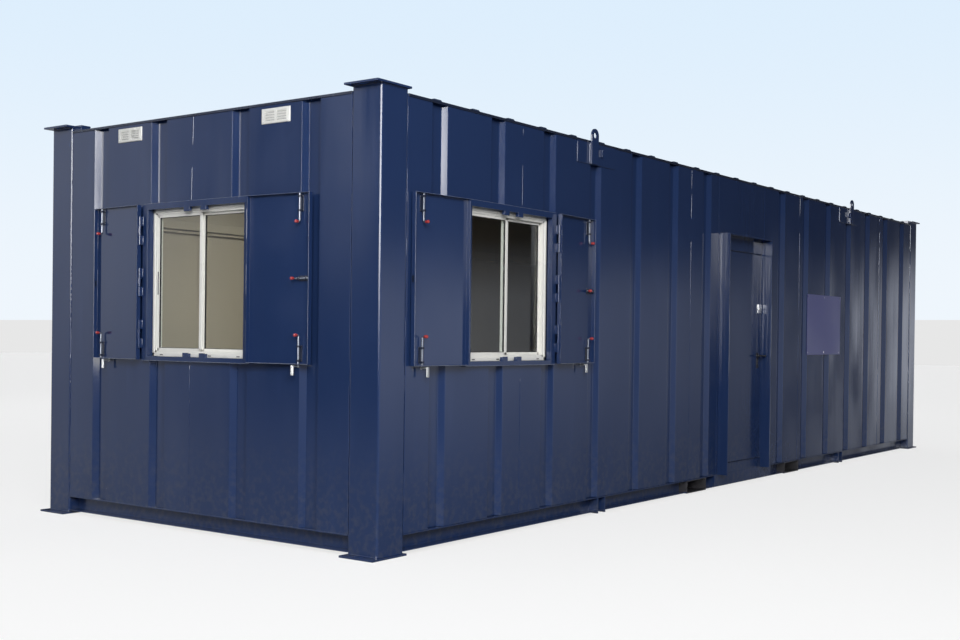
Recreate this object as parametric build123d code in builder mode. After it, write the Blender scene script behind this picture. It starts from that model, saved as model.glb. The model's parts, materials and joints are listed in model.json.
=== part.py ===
from build123d import *
import os

# Portable site cabin, in millimetres: a fluted steel box on a channel base frame, with a corner post at
# each corner. The origin lies on the ground, midway between the four foot plates. X runs along the long
# sides, Y across them and Z up. The doorway and one window are in the front, at -Y, and a second window
# is in the left end, at -X. Each window has two hinged steel shutters, folded back beside it.

# Overall size, over the faces of the corner posts
CABIN_LENGTH = 9750
CABIN_WIDTH = 3050

# Corner posts, with a plate under and over each
POST_ALONG = 230
POST_ACROSS = 226
POST_SHEET = 6
POST_FOLD_RADIUS = 14
POST_HEIGHT = 2664
PLATE_THICKNESS = 12
PLATE_ALONG = 297
PLATE_ACROSS = 255
PLATE_OVERHANG_ALONG = 60
PLATE_OVERHANG_ACROSS = 19
SLOT_LENGTH = 70
SLOT_WIDTH = 22

# Base frame: channel rails with their flanges outwards, joists and two fork pockets
RAIL_BOTTOM = 22
RAIL_HEIGHT = 100
RAIL_DEPTH = 80
RAIL_STEEL = 6
JOIST_WIDTH = 50
JOIST_PITCH = 600
JOIST_FIRST = -4500
JOIST_COUNT = 16
POCKET_CENTRES = (-895, 1110)
POCKET_WIDTH = 330
POCKET_STEEL = 8
POCKET_DROP = 8
GUSSET_THICKNESS = 12
GUSSET_CENTRES = (2370, 2470)
GUSSET_DROP = 16
FLOOR_THICKNESS = 18

# Walls: one fluted sandwich of sheet, studs and lining
WALL_THICKNESS = 75
WALL_SETBACK = 3
WALL_HEIGHT = 2524
FLUTE_OPENING = 150
FLUTE_BOTTOM = 92
FLUTE_DEPTH = 34
FLUTE_EDGE_MARGIN = 30
LEFT_FLUTES_START = -761
LEFT_FLUTE_PITCH = 597
RIGHT_FLUTES_START = 805
RIGHT_FLUTE_PITCH = 586
END_FLUTES_START = 382
END_FLUTE_PITCH = 595
BACK_FLUTE_PITCH = 595

# Roof: a ribbed sheet on bearers, with an edge trim and a ceiling board below
ROOF_SHEET = 6
ROOF_RIB_HEIGHT = 10
ROOF_RIB_WIDTH = 90
ROOF_RIB_CREST = 60
ROOF_RIB_PITCH = 380
TRIM_HEIGHT = 16
TRIM_THICKNESS = 6
BEARER_WIDTH = 50
BEARER_PITCH = 600
CEILING_THICKNESS = 12
CEILING_DROP = 110
CORNER_BLOCK_SIZE = 80
CORNER_BLOCK_HEIGHT = 34
CORNER_BLOCK_GAP = 2

# Door: a leaf in a frame, inside a surround that stands proud of the wall
DOOR_CENTRE = -66
DOOR_FRAME_OPENING = 864
DOOR_FRAME_BAR = 40
DOOR_SILL_TOP = 205
DOOR_HEAD_BOTTOM = 2030
DOOR_HEAD_BAR = 120
DOOR_GAP = 6
DOOR_LOCK_GAP = 8
DOOR_LEAF_THICKNESS = 45
DOOR_PIN_OUT = 18
DOOR_PIN_INSET = 14
DOOR_HINGE_FLAP = 6
DOOR_PIN_RADIUS = 5
DOOR_KNUCKLE_RADIUS = 9
DOOR_KNUCKLE_LENGTH = 45
DOOR_HINGE_HEIGHTS = (430, 1120, 1810)
SURROUND_PLATE = 12
SURROUND_PROUD = 90
SILL_BOX_LEFT = -565
SILL_BOX_RIGHT = 615
LOCK_WIDTH = 80
LOCK_HEIGHT = 85
LOCK_PROUD = 14
LOCK_CENTRE_HEIGHT = 1540
LOCK_EDGE_GAP = 6
HANDLE_HEIGHT = 1122
HANDLE_EDGE_GAP = 72
HANDLE_ROSE_RADIUS = 26
HANDLE_NECK_RADIUS = 9
HANDLE_PROUD = 62
HANDLE_LENGTH = 118
HANDLE_BAR = 18

# Windows, with a steel surround on the wall outside each
FRONT_WINDOW_CENTRE = -3615
END_WINDOW_CENTRE = 8
WINDOW_WIDTH = 900
WINDOW_BOTTOM = 1110
WINDOW_HEIGHT = 950
WINDOW_RECESS = 10
WINDOW_FRAME_DEPTH = 55
WINDOW_FRAME_BAR = 50
WINDOW_MULLION = 50
GLASS_THICKNESS = 6
CASING_SIDE = 52
CASING_TOP = 40
CASING_BOTTOM = 30
CASING_DEPTH = 32
KEEPER_SIZE = 24
KEEPER_WIDTH = 52

# Shutter leaves: steel pans, hinged on pins along the sides of the casing
LEAF_THICKNESS = 30
LEAF_SHEET = 4
LEAF_PIN_GAP = 8
LEAF_EDGE_GAP = 10
LEAF_MEETING_GAP = 6
LEAF_TOP_GAP = 7
LEAF_LEAN = 3.5
LEAF_PIN_RADIUS = 4
LEAF_KNUCKLE_RADIUS = 7
LEAF_KNUCKLE_LENGTH = 60
LEAF_HINGE_COUNT = 3
BOLT_EDGE_DISTANCE = 78
BOLT_ROD_RADIUS = 6
BOLT_STANDOFF = 17
BOLT_HANDLE_DISTANCE = 167
BOLT_PLATE_WIDTH = 34
BOLT_PLATE_LENGTH = 95
BOLT_PLATE_THICKNESS = 3
BOLT_ROD_EDGE_GAP = 1
BOLT_PLATE_EDGE_GAP = 12
BOLT_STRAP_HEIGHT = 12
HANDLE_ROD_RADIUS = 5
KNOB_RADIUS = 10
KNOB_LENGTH = 26
KNOB_REACH = 58
LATCH_LENGTH = 105
CATCH_EDGE_DISTANCE = 115
CATCH_GAP = 6
CATCH_TONGUE = 60

# Fittings
VENT_WIDTH = 240
VENT_HEIGHT = 92
VENT_PROUD = 8
VENT_CENTRES = (-674, 688)
VENT_CENTRE_HEIGHT = 2571
BOARD_LEFT = 1455
BOARD_WIDTH = 904
BOARD_BOTTOM = 1126
BOARD_HEIGHT = 591
BOARD_THICKNESS = 3
LUG_CENTRE = 2606
LUG_WIDTH = 94
LUG_THICKNESS = 12
LUG_PACKER = 8
LUG_HOLE_RADIUS = 21
LUG_HOLE_HEIGHT = 2690
LUG_BOTTOM = 2487
LUG_BACKING_WIDTH = 520
LUG_BACKING_THICKNESS = 6
LUG_BACKING_SHIFT = 55

RUNNING_CLEARANCE = 0.08
KNUCKLE_GAP = 1

# Heights and places that follow from the sizes above
POST_TOP = PLATE_THICKNESS + POST_HEIGHT
RAIL_TOP = RAIL_BOTTOM + RAIL_HEIGHT
WALL_TOP = RAIL_TOP + WALL_HEIGHT
WALL_INNER = WALL_SETBACK + WALL_THICKNESS
ROOM_LENGTH = CABIN_LENGTH - 2 * WALL_INNER
ROOM_WIDTH = CABIN_WIDTH - 2 * WALL_INNER
CEILING_BOTTOM = WALL_TOP - CEILING_DROP
LONG_WALL_END = CABIN_LENGTH / 2 - POST_ALONG
END_WALL_END = CABIN_WIDTH / 2 - POST_ACROSS
DOOR_OPENING_LEFT = DOOR_CENTRE - DOOR_FRAME_OPENING / 2 - DOOR_FRAME_BAR
DOOR_OPENING_RIGHT = DOOR_CENTRE + DOOR_FRAME_OPENING / 2 + DOOR_FRAME_BAR
DOOR_OPENING_TOP = DOOR_HEAD_BOTTOM + DOOR_HEAD_BAR
WINDOW_TOP = WINDOW_BOTTOM + WINDOW_HEIGHT
CASING_HALF_WIDTH = WINDOW_WIDTH / 2 + CASING_SIDE
LEAF_BOTTOM = WINDOW_BOTTOM - CASING_BOTTOM + LEAF_TOP_GAP
LEAF_TOP = WINDOW_TOP + CASING_TOP - LEAF_TOP_GAP
LEAF_REACH = CASING_HALF_WIDTH - LEAF_MEETING_GAP / 2
LEAF_PIN_OUT = CASING_DEPTH + LEAF_PIN_GAP + LEAF_THICKNESS / 2

# Each side of the cabin has its own frame: x to the right as seen from outside, y inwards, z up.
FRONT = Plane(origin=(0, -CABIN_WIDTH / 2, 0), x_dir=(1, 0, 0), z_dir=(0, 0, 1))
BACK = Plane(origin=(0, CABIN_WIDTH / 2, 0), x_dir=(-1, 0, 0), z_dir=(0, 0, 1))
LEFT_END = Plane(origin=(-CABIN_LENGTH / 2, 0, 0), x_dir=(0, -1, 0), z_dir=(0, 0, 1))
RIGHT_END = Plane(origin=(CABIN_LENGTH / 2, 0, 0), x_dir=(0, 1, 0), z_dir=(0, 0, 1))
SIDES = (FRONT, BACK, LEFT_END, RIGHT_END)

os.makedirs("parts", exist_ok=True)


def write_piece(piece, name):
    """Label a finished piece and write it as one STEP file."""
    piece.part.label = name
    export_step(piece.part, f"parts/{name}.step")


def block(frame, x_range, y_range, z_range, mode=Mode.ADD):
    """Add to (or cut from) the part in hand a box between pairs of distances in a frame."""
    with BuildSketch(frame.offset(z_range[0])) as footprint:
        with Locations((sum(x_range) / 2, sum(y_range) / 2)):
            Rectangle(abs(x_range[1] - x_range[0]), abs(y_range[1] - y_range[0]))
    extrude(footprint.sketch, amount=z_range[1] - z_range[0], mode=mode)


def upright_rod(frame, x, y, radius, z_range, mode=Mode.ADD):
    """Add to (or cut from) the part in hand a vertical cylinder."""
    with BuildSketch(frame.offset(z_range[0])) as section:
        with Locations((x, y)):
            Circle(radius)
    extrude(section.sketch, amount=z_range[1] - z_range[0], mode=mode)


def ring(frame, x_range, y_range, z_range, side_bar, top_bar, bottom_bar):
    """Add to the part in hand an upright rectangular ring, as round a door or window."""
    block(frame, x_range, y_range, z_range)
    inner_x = (x_range[0] + side_bar, x_range[1] - side_bar)
    block(frame, inner_x, y_range, (z_range[0] + bottom_bar, z_range[1] - top_bar), Mode.SUBTRACT)


def facing(frame, x, y, z):
    """A plane at a point of a side's frame that looks outwards from it, with x to the right and y up."""
    return Plane(origin=frame.from_local_coords((x, y, z)), x_dir=frame.x_dir, z_dir=-frame.y_dir)


# ---- Corner posts and their plates ----

POST_CENTRE_X = CABIN_LENGTH / 2 - POST_ALONG / 2
POST_CENTRE_Y = CABIN_WIDTH / 2 - POST_ACROSS / 2
PLATE_CENTRE_X = CABIN_LENGTH / 2 + PLATE_OVERHANG_ALONG - PLATE_ALONG / 2
PLATE_CENTRE_Y = CABIN_WIDTH / 2 + PLATE_OVERHANG_ACROSS - PLATE_ACROSS / 2
SLOT_CENTRE_X = CABIN_LENGTH / 2 + PLATE_OVERHANG_ALONG / 2
CORNERS = {
    "front_left": (-1, -1),
    "front_right": (1, -1),
    "back_left": (-1, 1),
    "back_right": (1, 1),
}

for corner, (along, across) in CORNERS.items():
    with BuildPart() as post:
        with BuildSketch(Plane.XY.offset(PLATE_THICKNESS)):
            with Locations((along * POST_CENTRE_X, across * POST_CENTRE_Y)):
                RectangleRounded(POST_ALONG, POST_ACROSS, POST_FOLD_RADIUS)
                Rectangle(POST_ALONG - 2 * POST_SHEET, POST_ACROSS - 2 * POST_SHEET, mode=Mode.SUBTRACT)
        extrude(amount=POST_HEIGHT)
    write_piece(post, f"corner_post_{corner}")

for plates, height in (("foot_plates", 0), ("cap_plates", POST_TOP)):
    with BuildPart() as plate_set:
        with BuildSketch(Plane.XY.offset(height)):
            for along, across in CORNERS.values():
                with Locations((along * PLATE_CENTRE_X, across * PLATE_CENTRE_Y)):
                    Rectangle(PLATE_ALONG, PLATE_ACROSS)
                with Locations((along * SLOT_CENTRE_X, across * POST_CENTRE_Y)):
                    SlotOverall(SLOT_LENGTH, SLOT_WIDTH, rotation=90, mode=Mode.SUBTRACT)
        extrude(amount=PLATE_THICKNESS)
    write_piece(plate_set, plates)


# ---- Base frame ----

POCKET_HALF = POCKET_WIDTH / 2 + POCKET_STEEL
POCKET_BOTTOM = RAIL_BOTTOM - POCKET_DROP
POCKET_TOP = RAIL_TOP - RAIL_STEEL


def channel(frame, half_length):
    """Add to the part in hand a channel along a side, with its flanges outwards and its web inside."""
    x_range = (-half_length, half_length)
    block(frame, x_range, (0, RAIL_DEPTH), (RAIL_BOTTOM, RAIL_TOP))
    hollow = (RAIL_BOTTOM + RAIL_STEEL, RAIL_TOP - RAIL_STEEL)
    block(frame, x_range, (0, RAIL_DEPTH - RAIL_STEEL), hollow, Mode.SUBTRACT)


def long_rail(frame, name, pocket_centres, has_sill_box):
    """A long rail, cut for the fork pockets, with gussets in its channel and a sill box at the door."""
    with BuildPart() as rail:
        channel(frame, LONG_WALL_END)
        for side in (-1, 1):
            for centre in GUSSET_CENTRES:
                x_range = (side * centre - GUSSET_THICKNESS / 2, side * centre + GUSSET_THICKNESS / 2)
                z_range = (RAIL_BOTTOM - GUSSET_DROP, RAIL_TOP - RAIL_STEEL)
                block(frame, x_range, (0, RAIL_DEPTH), z_range)
        if has_sill_box:
            block(frame, (SILL_BOX_LEFT, SILL_BOX_RIGHT), (0, RAIL_DEPTH), (RAIL_BOTTOM, RAIL_TOP))
        for centre in pocket_centres:
            x_range = (centre - POCKET_HALF, centre + POCKET_HALF)
            block(frame, x_range, (0, RAIL_DEPTH), (RAIL_BOTTOM, POCKET_TOP), Mode.SUBTRACT)
    write_piece(rail, name)


long_rail(FRONT, "base_rail_front", POCKET_CENTRES, True)
long_rail(BACK, "base_rail_back", [-centre for centre in POCKET_CENTRES], False)

for frame, name in ((LEFT_END, "base_rail_left"), (RIGHT_END, "base_rail_right")):
    with BuildPart() as end_rail:
        channel(frame, END_WALL_END)
    write_piece(end_rail, name)

with BuildPart() as fork_pockets:
    for centre in POCKET_CENTRES:
        x_outer = (centre - POCKET_HALF, centre + POCKET_HALF)
        x_inner = (centre - POCKET_WIDTH / 2, centre + POCKET_WIDTH / 2)
        block(FRONT, x_outer, (0, CABIN_WIDTH), (POCKET_BOTTOM, POCKET_TOP))
        z_inner = (POCKET_BOTTOM + POCKET_STEEL, POCKET_TOP - POCKET_STEEL)
        block(FRONT, x_inner, (0, CABIN_WIDTH), z_inner, Mode.SUBTRACT)
write_piece(fork_pockets, "fork_pockets")


def clear_of_pockets(centre):
    """Whether a joist at this place along the cabin stands clear of both fork pockets."""
    reach = POCKET_HALF + JOIST_WIDTH / 2
    return all(abs(centre - pocket) > reach for pocket in POCKET_CENTRES)


joist_centres = [JOIST_FIRST + JOIST_PITCH * index for index in range(JOIST_COUNT)]
with BuildPart() as floor_joists:
    with BuildSketch(Plane.XY.offset(RAIL_BOTTOM)):
        for centre in filter(clear_of_pockets, joist_centres):
            with Locations((centre, 0)):
                Rectangle(JOIST_WIDTH, CABIN_WIDTH - 2 * RAIL_DEPTH)
    extrude(amount=RAIL_HEIGHT)
write_piece(floor_joists, "floor_joists")


def room_slab(name, bottom, thickness):
    """A board the size of the room, notched round the corner posts."""
    with BuildPart() as board:
        with BuildSketch(Plane.XY.offset(bottom)):
            Rectangle(ROOM_LENGTH, ROOM_WIDTH)
            for along, across in CORNERS.values():
                with Locations((along * POST_CENTRE_X, across * POST_CENTRE_Y)):
                    Rectangle(POST_ALONG, POST_ACROSS, mode=Mode.SUBTRACT)
        extrude(amount=thickness)
    write_piece(board, name)


room_slab("floor_deck", RAIL_TOP, FLOOR_THICKNESS)
room_slab("ceiling", CEILING_BOTTOM, CEILING_THICKNESS)


# ---- Walls ----

def flute_centres(start, pitch, limit):
    """Centres of the flutes from a start outwards, as far as a whole flute fits before the limit."""
    step = pitch if limit > start else -pitch
    last_fit = abs(limit - start) - FLUTE_OPENING / 2 - FLUTE_EDGE_MARGIN
    count = int(last_fit // pitch) + 1
    return [start + step * index for index in range(count)]


def fluted_outline(x_range, centres):
    """Corners of a wall's plan section: the fluted face outside, the flat lining inside."""
    points = [(x_range[0], WALL_SETBACK)]
    for centre in sorted(centres):
        points.append((centre - FLUTE_OPENING / 2, WALL_SETBACK))
        points.append((centre - FLUTE_BOTTOM / 2, WALL_SETBACK + FLUTE_DEPTH))
        points.append((centre + FLUTE_BOTTOM / 2, WALL_SETBACK + FLUTE_DEPTH))
        points.append((centre + FLUTE_OPENING / 2, WALL_SETBACK))
    points.append((x_range[1], WALL_SETBACK))
    points.append((x_range[1], WALL_INNER))
    points.append((x_range[0], WALL_INNER))
    return points


def wall(name, frame, x_range, centres, bottom=RAIL_TOP, window_centre=None):
    """A fluted wall, from its bottom to the underside of the roof, cut through for its window."""
    with BuildPart() as panel:
        with BuildSketch(frame.offset(bottom)) as section:
            with BuildLine():
                Polyline(*fluted_outline(x_range, centres), close=True)
            make_face()
        extrude(amount=WALL_TOP - bottom)
        if window_centre is not None:
            opening = (window_centre - WINDOW_WIDTH / 2, window_centre + WINDOW_WIDTH / 2)
            block(frame, opening, (0, WALL_INNER), (WINDOW_BOTTOM, WINDOW_TOP), Mode.SUBTRACT)
    write_piece(panel, name)


left_flutes = flute_centres(LEFT_FLUTES_START, LEFT_FLUTE_PITCH, -LONG_WALL_END)
right_flutes = flute_centres(RIGHT_FLUTES_START, RIGHT_FLUTE_PITCH, LONG_WALL_END)
end_right_flutes = flute_centres(END_FLUTES_START, END_FLUTE_PITCH, END_WALL_END)
end_flutes = end_right_flutes + [-centre for centre in end_right_flutes]
back_right_flutes = flute_centres(BACK_FLUTE_PITCH / 2, BACK_FLUTE_PITCH, LONG_WALL_END)
back_flutes = back_right_flutes + [-centre for centre in back_right_flutes]

wall("front_wall_left", FRONT, (-LONG_WALL_END, DOOR_OPENING_LEFT), left_flutes,
     window_centre=FRONT_WINDOW_CENTRE)
wall("front_wall_over_door", FRONT, (DOOR_OPENING_LEFT, DOOR_OPENING_RIGHT), [], bottom=DOOR_OPENING_TOP)
wall("front_wall_right", FRONT, (DOOR_OPENING_RIGHT, LONG_WALL_END), right_flutes)
wall("back_wall", BACK, (-LONG_WALL_END, LONG_WALL_END), back_flutes)
wall("left_end_wall", LEFT_END, (-END_WALL_END, END_WALL_END), end_flutes,
     window_centre=END_WINDOW_CENTRE)
wall("right_end_wall", RIGHT_END, (-END_WALL_END, END_WALL_END), end_flutes)


# ---- Roof ----

ROOF_TOP = WALL_TOP + ROOF_SHEET
RIB_COUNT = int((CABIN_LENGTH - 2 * POST_ALONG) // ROOF_RIB_PITCH)

with BuildPart() as roof_sheet:
    with BuildSketch(Plane.XY.offset(WALL_TOP)):
        Rectangle(CABIN_LENGTH - 2 * WALL_SETBACK, CABIN_WIDTH - 2 * WALL_SETBACK)
    extrude(amount=ROOF_SHEET)
    with BuildSketch(Plane.XZ.offset(-CABIN_WIDTH / 2 + WALL_SETBACK)):
        with Locations((0, ROOF_TOP)):
            with GridLocations(ROOF_RIB_PITCH, 1, RIB_COUNT, 1):
                Polygon(
                    (-ROOF_RIB_WIDTH / 2, 0),
                    (ROOF_RIB_WIDTH / 2, 0),
                    (ROOF_RIB_CREST / 2, ROOF_RIB_HEIGHT),
                    (-ROOF_RIB_CREST / 2, ROOF_RIB_HEIGHT),
                    align=None,
                )
    extrude(amount=CABIN_WIDTH - 2 * WALL_SETBACK)
    with BuildSketch(Plane.XY.offset(WALL_TOP)):
        for along, across in CORNERS.values():
            with Locations((along * POST_CENTRE_X, across * POST_CENTRE_Y)):
                Rectangle(POST_ALONG, POST_ACROSS)
    extrude(amount=ROOF_SHEET + ROOF_RIB_HEIGHT, mode=Mode.SUBTRACT)
write_piece(roof_sheet, "roof_sheet")

with BuildPart() as roof_trim:
    for frame, half_length in zip(SIDES, (LONG_WALL_END, LONG_WALL_END, END_WALL_END, END_WALL_END)):
        y_range = (WALL_SETBACK - TRIM_THICKNESS, WALL_SETBACK)
        block(frame, (-half_length, half_length), y_range, (WALL_TOP + ROOF_SHEET - TRIM_HEIGHT, ROOF_TOP))
write_piece(roof_trim, "roof_trim")

bearer_half_count = int((CABIN_LENGTH / 2 - POST_ALONG - BEARER_WIDTH) // BEARER_PITCH)
with BuildPart() as roof_bearers:
    with BuildSketch(Plane.XY.offset(CEILING_BOTTOM + CEILING_THICKNESS)):
        with GridLocations(BEARER_PITCH, 1, 2 * bearer_half_count + 1, 1):
            Rectangle(BEARER_WIDTH, ROOM_WIDTH)
    extrude(amount=WALL_TOP - CEILING_BOTTOM - CEILING_THICKNESS)
write_piece(roof_bearers, "roof_bearers")

PLATE_INNER_ALONG = CABIN_LENGTH / 2 + PLATE_OVERHANG_ALONG - PLATE_ALONG
PLATE_INNER_ACROSS = CABIN_WIDTH / 2 + PLATE_OVERHANG_ACROSS - PLATE_ACROSS

with BuildPart() as roof_corner_blocks:
    for frame, side, plate_inner in ((FRONT, 1, PLATE_INNER_ALONG), (LEFT_END, -1, PLATE_INNER_ACROSS)):
        outer = plate_inner - CORNER_BLOCK_GAP
        x_range = sorted((side * outer, side * (outer - CORNER_BLOCK_SIZE)))
        y_range = (WALL_SETBACK, CORNER_BLOCK_SIZE)
        block(frame, x_range, y_range, (ROOF_TOP, ROOF_TOP + CORNER_BLOCK_HEIGHT))
write_piece(roof_corner_blocks, "roof_corner_blocks")


# ---- Door ----

DOOR_LEAF_LEFT = DOOR_CENTRE - DOOR_FRAME_OPENING / 2 + DOOR_GAP
DOOR_LEAF_RIGHT = DOOR_CENTRE + DOOR_FRAME_OPENING / 2 - DOOR_LOCK_GAP
DOOR_PIN_X = DOOR_CENTRE - DOOR_FRAME_OPENING / 2 + DOOR_PIN_INSET
DOOR_PIN_Y = WALL_SETBACK - DOOR_PIN_OUT
DOOR_LEAF_BACK = WALL_SETBACK + DOOR_LEAF_THICKNESS
DOOR_BORE_RADIUS = DOOR_PIN_RADIUS + RUNNING_CLEARANCE
DOOR_Z_RANGE = (DOOR_SILL_TOP + DOOR_GAP, DOOR_HEAD_BOTTOM - DOOR_GAP)


def knuckle_span(height, length, level):
    """Height range of one of a hinge's three knuckles, at level -1, 0 or 1, with gaps between them."""
    middle = height + level * (length + KNUCKLE_GAP)
    return (middle - length / 2, middle + length / 2)


with BuildPart() as door_frame:
    x_range = (DOOR_OPENING_LEFT, DOOR_OPENING_RIGHT)
    z_range = (RAIL_TOP, DOOR_OPENING_TOP)
    sill_bar = DOOR_SILL_TOP - RAIL_TOP
    ring(FRONT, x_range, (0, WALL_INNER), z_range, DOOR_FRAME_BAR, DOOR_HEAD_BAR, sill_bar)
write_piece(door_frame, "door_frame")

with BuildPart() as door_surround:
    inner_left = DOOR_CENTRE - DOOR_FRAME_OPENING / 2
    inner_right = DOOR_CENTRE + DOOR_FRAME_OPENING / 2
    x_range = (inner_left - SURROUND_PLATE, inner_right + SURROUND_PLATE)
    z_range = (RAIL_TOP, DOOR_OPENING_TOP + SURROUND_PLATE)
    ring(FRONT, x_range, (-SURROUND_PROUD, 0), z_range, SURROUND_PLATE, SURROUND_PLATE, 0)
    flap_y = (DOOR_PIN_Y - DOOR_HINGE_FLAP / 2, DOOR_PIN_Y + DOOR_HINGE_FLAP / 2)
    for height in DOOR_HINGE_HEIGHTS:
        pin_bottom = knuckle_span(height, DOOR_KNUCKLE_LENGTH, -1)[0]
        pin_top = knuckle_span(height, DOOR_KNUCKLE_LENGTH, 1)[1]
        for level in (-1, 1):
            span = knuckle_span(height, DOOR_KNUCKLE_LENGTH, level)
            upright_rod(FRONT, DOOR_PIN_X, DOOR_PIN_Y, DOOR_KNUCKLE_RADIUS, span)
            block(FRONT, (inner_left - SURROUND_PLATE / 2, DOOR_PIN_X), flap_y, span)
        upright_rod(FRONT, DOOR_PIN_X, DOOR_PIN_Y, DOOR_PIN_RADIUS, (pin_bottom, pin_top))
write_piece(door_surround, "door_surround")

with BuildPart() as door_leaf:
    block(FRONT, (DOOR_LEAF_LEFT, DOOR_LEAF_RIGHT), (WALL_SETBACK, DOOR_LEAF_BACK), DOOR_Z_RANGE)
    for height in DOOR_HINGE_HEIGHTS:
        span = knuckle_span(height, DOOR_KNUCKLE_LENGTH, 0)
        upright_rod(FRONT, DOOR_PIN_X, DOOR_PIN_Y, DOOR_KNUCKLE_RADIUS, span)
        block(FRONT, (DOOR_PIN_X, DOOR_LEAF_LEFT + DOOR_FRAME_BAR), (DOOR_PIN_Y, WALL_SETBACK), span)
        upright_rod(FRONT, DOOR_PIN_X, DOOR_PIN_Y, DOOR_BORE_RADIUS, span, Mode.SUBTRACT)
write_piece(door_leaf, "door_leaf")

with BuildPart() as door_lock:
    lock_right = DOOR_LEAF_RIGHT - LOCK_EDGE_GAP
    z_range = (LOCK_CENTRE_HEIGHT - LOCK_HEIGHT / 2, LOCK_CENTRE_HEIGHT + LOCK_HEIGHT / 2)
    block(FRONT, (lock_right - LOCK_WIDTH, lock_right), (WALL_SETBACK - LOCK_PROUD, WALL_SETBACK), z_range)
write_piece(door_lock, "door_lock")

with BuildPart() as door_handle:
    handle_x = DOOR_LEAF_RIGHT - HANDLE_EDGE_GAP
    with BuildSketch(facing(FRONT, handle_x, WALL_SETBACK, HANDLE_HEIGHT)):
        Circle(HANDLE_ROSE_RADIUS)
    extrude(amount=HANDLE_NECK_RADIUS)
    with BuildSketch(facing(FRONT, handle_x, WALL_SETBACK, HANDLE_HEIGHT)):
        Circle(HANDLE_NECK_RADIUS)
    extrude(amount=HANDLE_PROUD)
    with BuildSketch(facing(FRONT, handle_x, WALL_SETBACK - HANDLE_PROUD + HANDLE_BAR, HANDLE_HEIGHT)):
        with Locations((HANDLE_BAR / 2, 0)):
            SlotOverall(HANDLE_LENGTH, HANDLE_BAR)
    extrude(amount=HANDLE_BAR)
write_piece(door_handle, "door_handle")


# ---- Windows ----

HINGE_STEP = (LEAF_TOP - LEAF_BOTTOM) / LEAF_HINGE_COUNT
LEAF_HINGE_HEIGHTS = [LEAF_BOTTOM + HINGE_STEP * (index + 0.5) for index in range(LEAF_HINGE_COUNT)]
LEAF_BORE_RADIUS = LEAF_PIN_RADIUS + RUNNING_CLEARANCE
SASH_WIDTH = (WINDOW_WIDTH - 2 * WINDOW_FRAME_BAR - WINDOW_MULLION) / 2


def leaf_frame(frame, window_centre, hand):
    """The frame of a shutter leaf, on its pin: x along the open leaf, and y inwards on the right hand."""
    pin = frame.from_local_coords((window_centre + hand * CASING_HALF_WIDTH, -LEAF_PIN_OUT, 0))
    return Plane(origin=pin, x_dir=frame.x_dir * hand, z_dir=(0, 0, 1)).rotated((0, 0, hand * LEAF_LEAN))


def window_casing(name, frame, centre):
    """The steel casing round a window, with the fixed knuckles, pins and bolt keepers of its shutters."""
    with BuildPart() as casing:
        x_range = (centre - CASING_HALF_WIDTH, centre + CASING_HALF_WIDTH)
        z_range = (WINDOW_BOTTOM - CASING_BOTTOM, WINDOW_TOP + CASING_TOP)
        ring(frame, x_range, (-CASING_DEPTH, WALL_SETBACK), z_range, CASING_SIDE, CASING_TOP, CASING_BOTTOM)
        for side in (-1, 1):
            keeper_x = centre + side * BOLT_EDGE_DISTANCE
            x_range = (keeper_x - KEEPER_WIDTH / 2, keeper_x + KEEPER_WIDTH / 2)
            y_range = (-CASING_DEPTH, -CASING_DEPTH + KEEPER_SIZE)
            block(frame, x_range, y_range, (WINDOW_TOP - KEEPER_SIZE, WINDOW_TOP))
            block(frame, x_range, y_range, (WINDOW_BOTTOM, WINDOW_BOTTOM + KEEPER_SIZE))
            pin_x = centre + side * CASING_HALF_WIDTH
            for height in LEAF_HINGE_HEIGHTS:
                for level in (-1, 1):
                    span = knuckle_span(height, LEAF_KNUCKLE_LENGTH, level)
                    upright_rod(frame, pin_x, -LEAF_PIN_OUT, LEAF_KNUCKLE_RADIUS, span)
                    flap = sorted((pin_x, pin_x - side * LEAF_PIN_RADIUS))
                    block(frame, flap, (-LEAF_PIN_OUT, -CASING_DEPTH), span)
                pin_bottom = knuckle_span(height, LEAF_KNUCKLE_LENGTH, -1)[0]
                pin_top = knuckle_span(height, LEAF_KNUCKLE_LENGTH, 1)[1]
                upright_rod(frame, pin_x, -LEAF_PIN_OUT, LEAF_PIN_RADIUS, (pin_bottom, pin_top))
    write_piece(casing, name)


def window_frame(name, frame, centre):
    """The white sliding-window frame in a wall's opening, with its middle stile."""
    y_range = (WALL_SETBACK + WINDOW_RECESS, WALL_SETBACK + WINDOW_RECESS + WINDOW_FRAME_DEPTH)
    with BuildPart() as bars:
        x_range = (centre - WINDOW_WIDTH / 2, centre + WINDOW_WIDTH / 2)
        bar = WINDOW_FRAME_BAR
        ring(frame, x_range, y_range, (WINDOW_BOTTOM, WINDOW_TOP), bar, bar, bar)
        stile = (centre - WINDOW_MULLION / 2, centre + WINDOW_MULLION / 2)
        block(frame, stile, y_range, (WINDOW_BOTTOM + bar, WINDOW_TOP - bar))
    write_piece(bars, name)


def window_glass(name, frame, centre):
    """The two panes of a window, each the size of its sash."""
    glass_y = WALL_SETBACK + WINDOW_RECESS + WINDOW_FRAME_DEPTH / 2
    y_range = (glass_y - GLASS_THICKNESS / 2, glass_y + GLASS_THICKNESS / 2)
    z_range = (WINDOW_BOTTOM + WINDOW_FRAME_BAR, WINDOW_TOP - WINDOW_FRAME_BAR)
    with BuildPart() as panes:
        for side in (-1, 1):
            pane_x = centre + side * (WINDOW_MULLION + SASH_WIDTH) / 2
            block(frame, (pane_x - SASH_WIDTH / 2, pane_x + SASH_WIDTH / 2), y_range, z_range)
    write_piece(panes, name)


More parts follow.
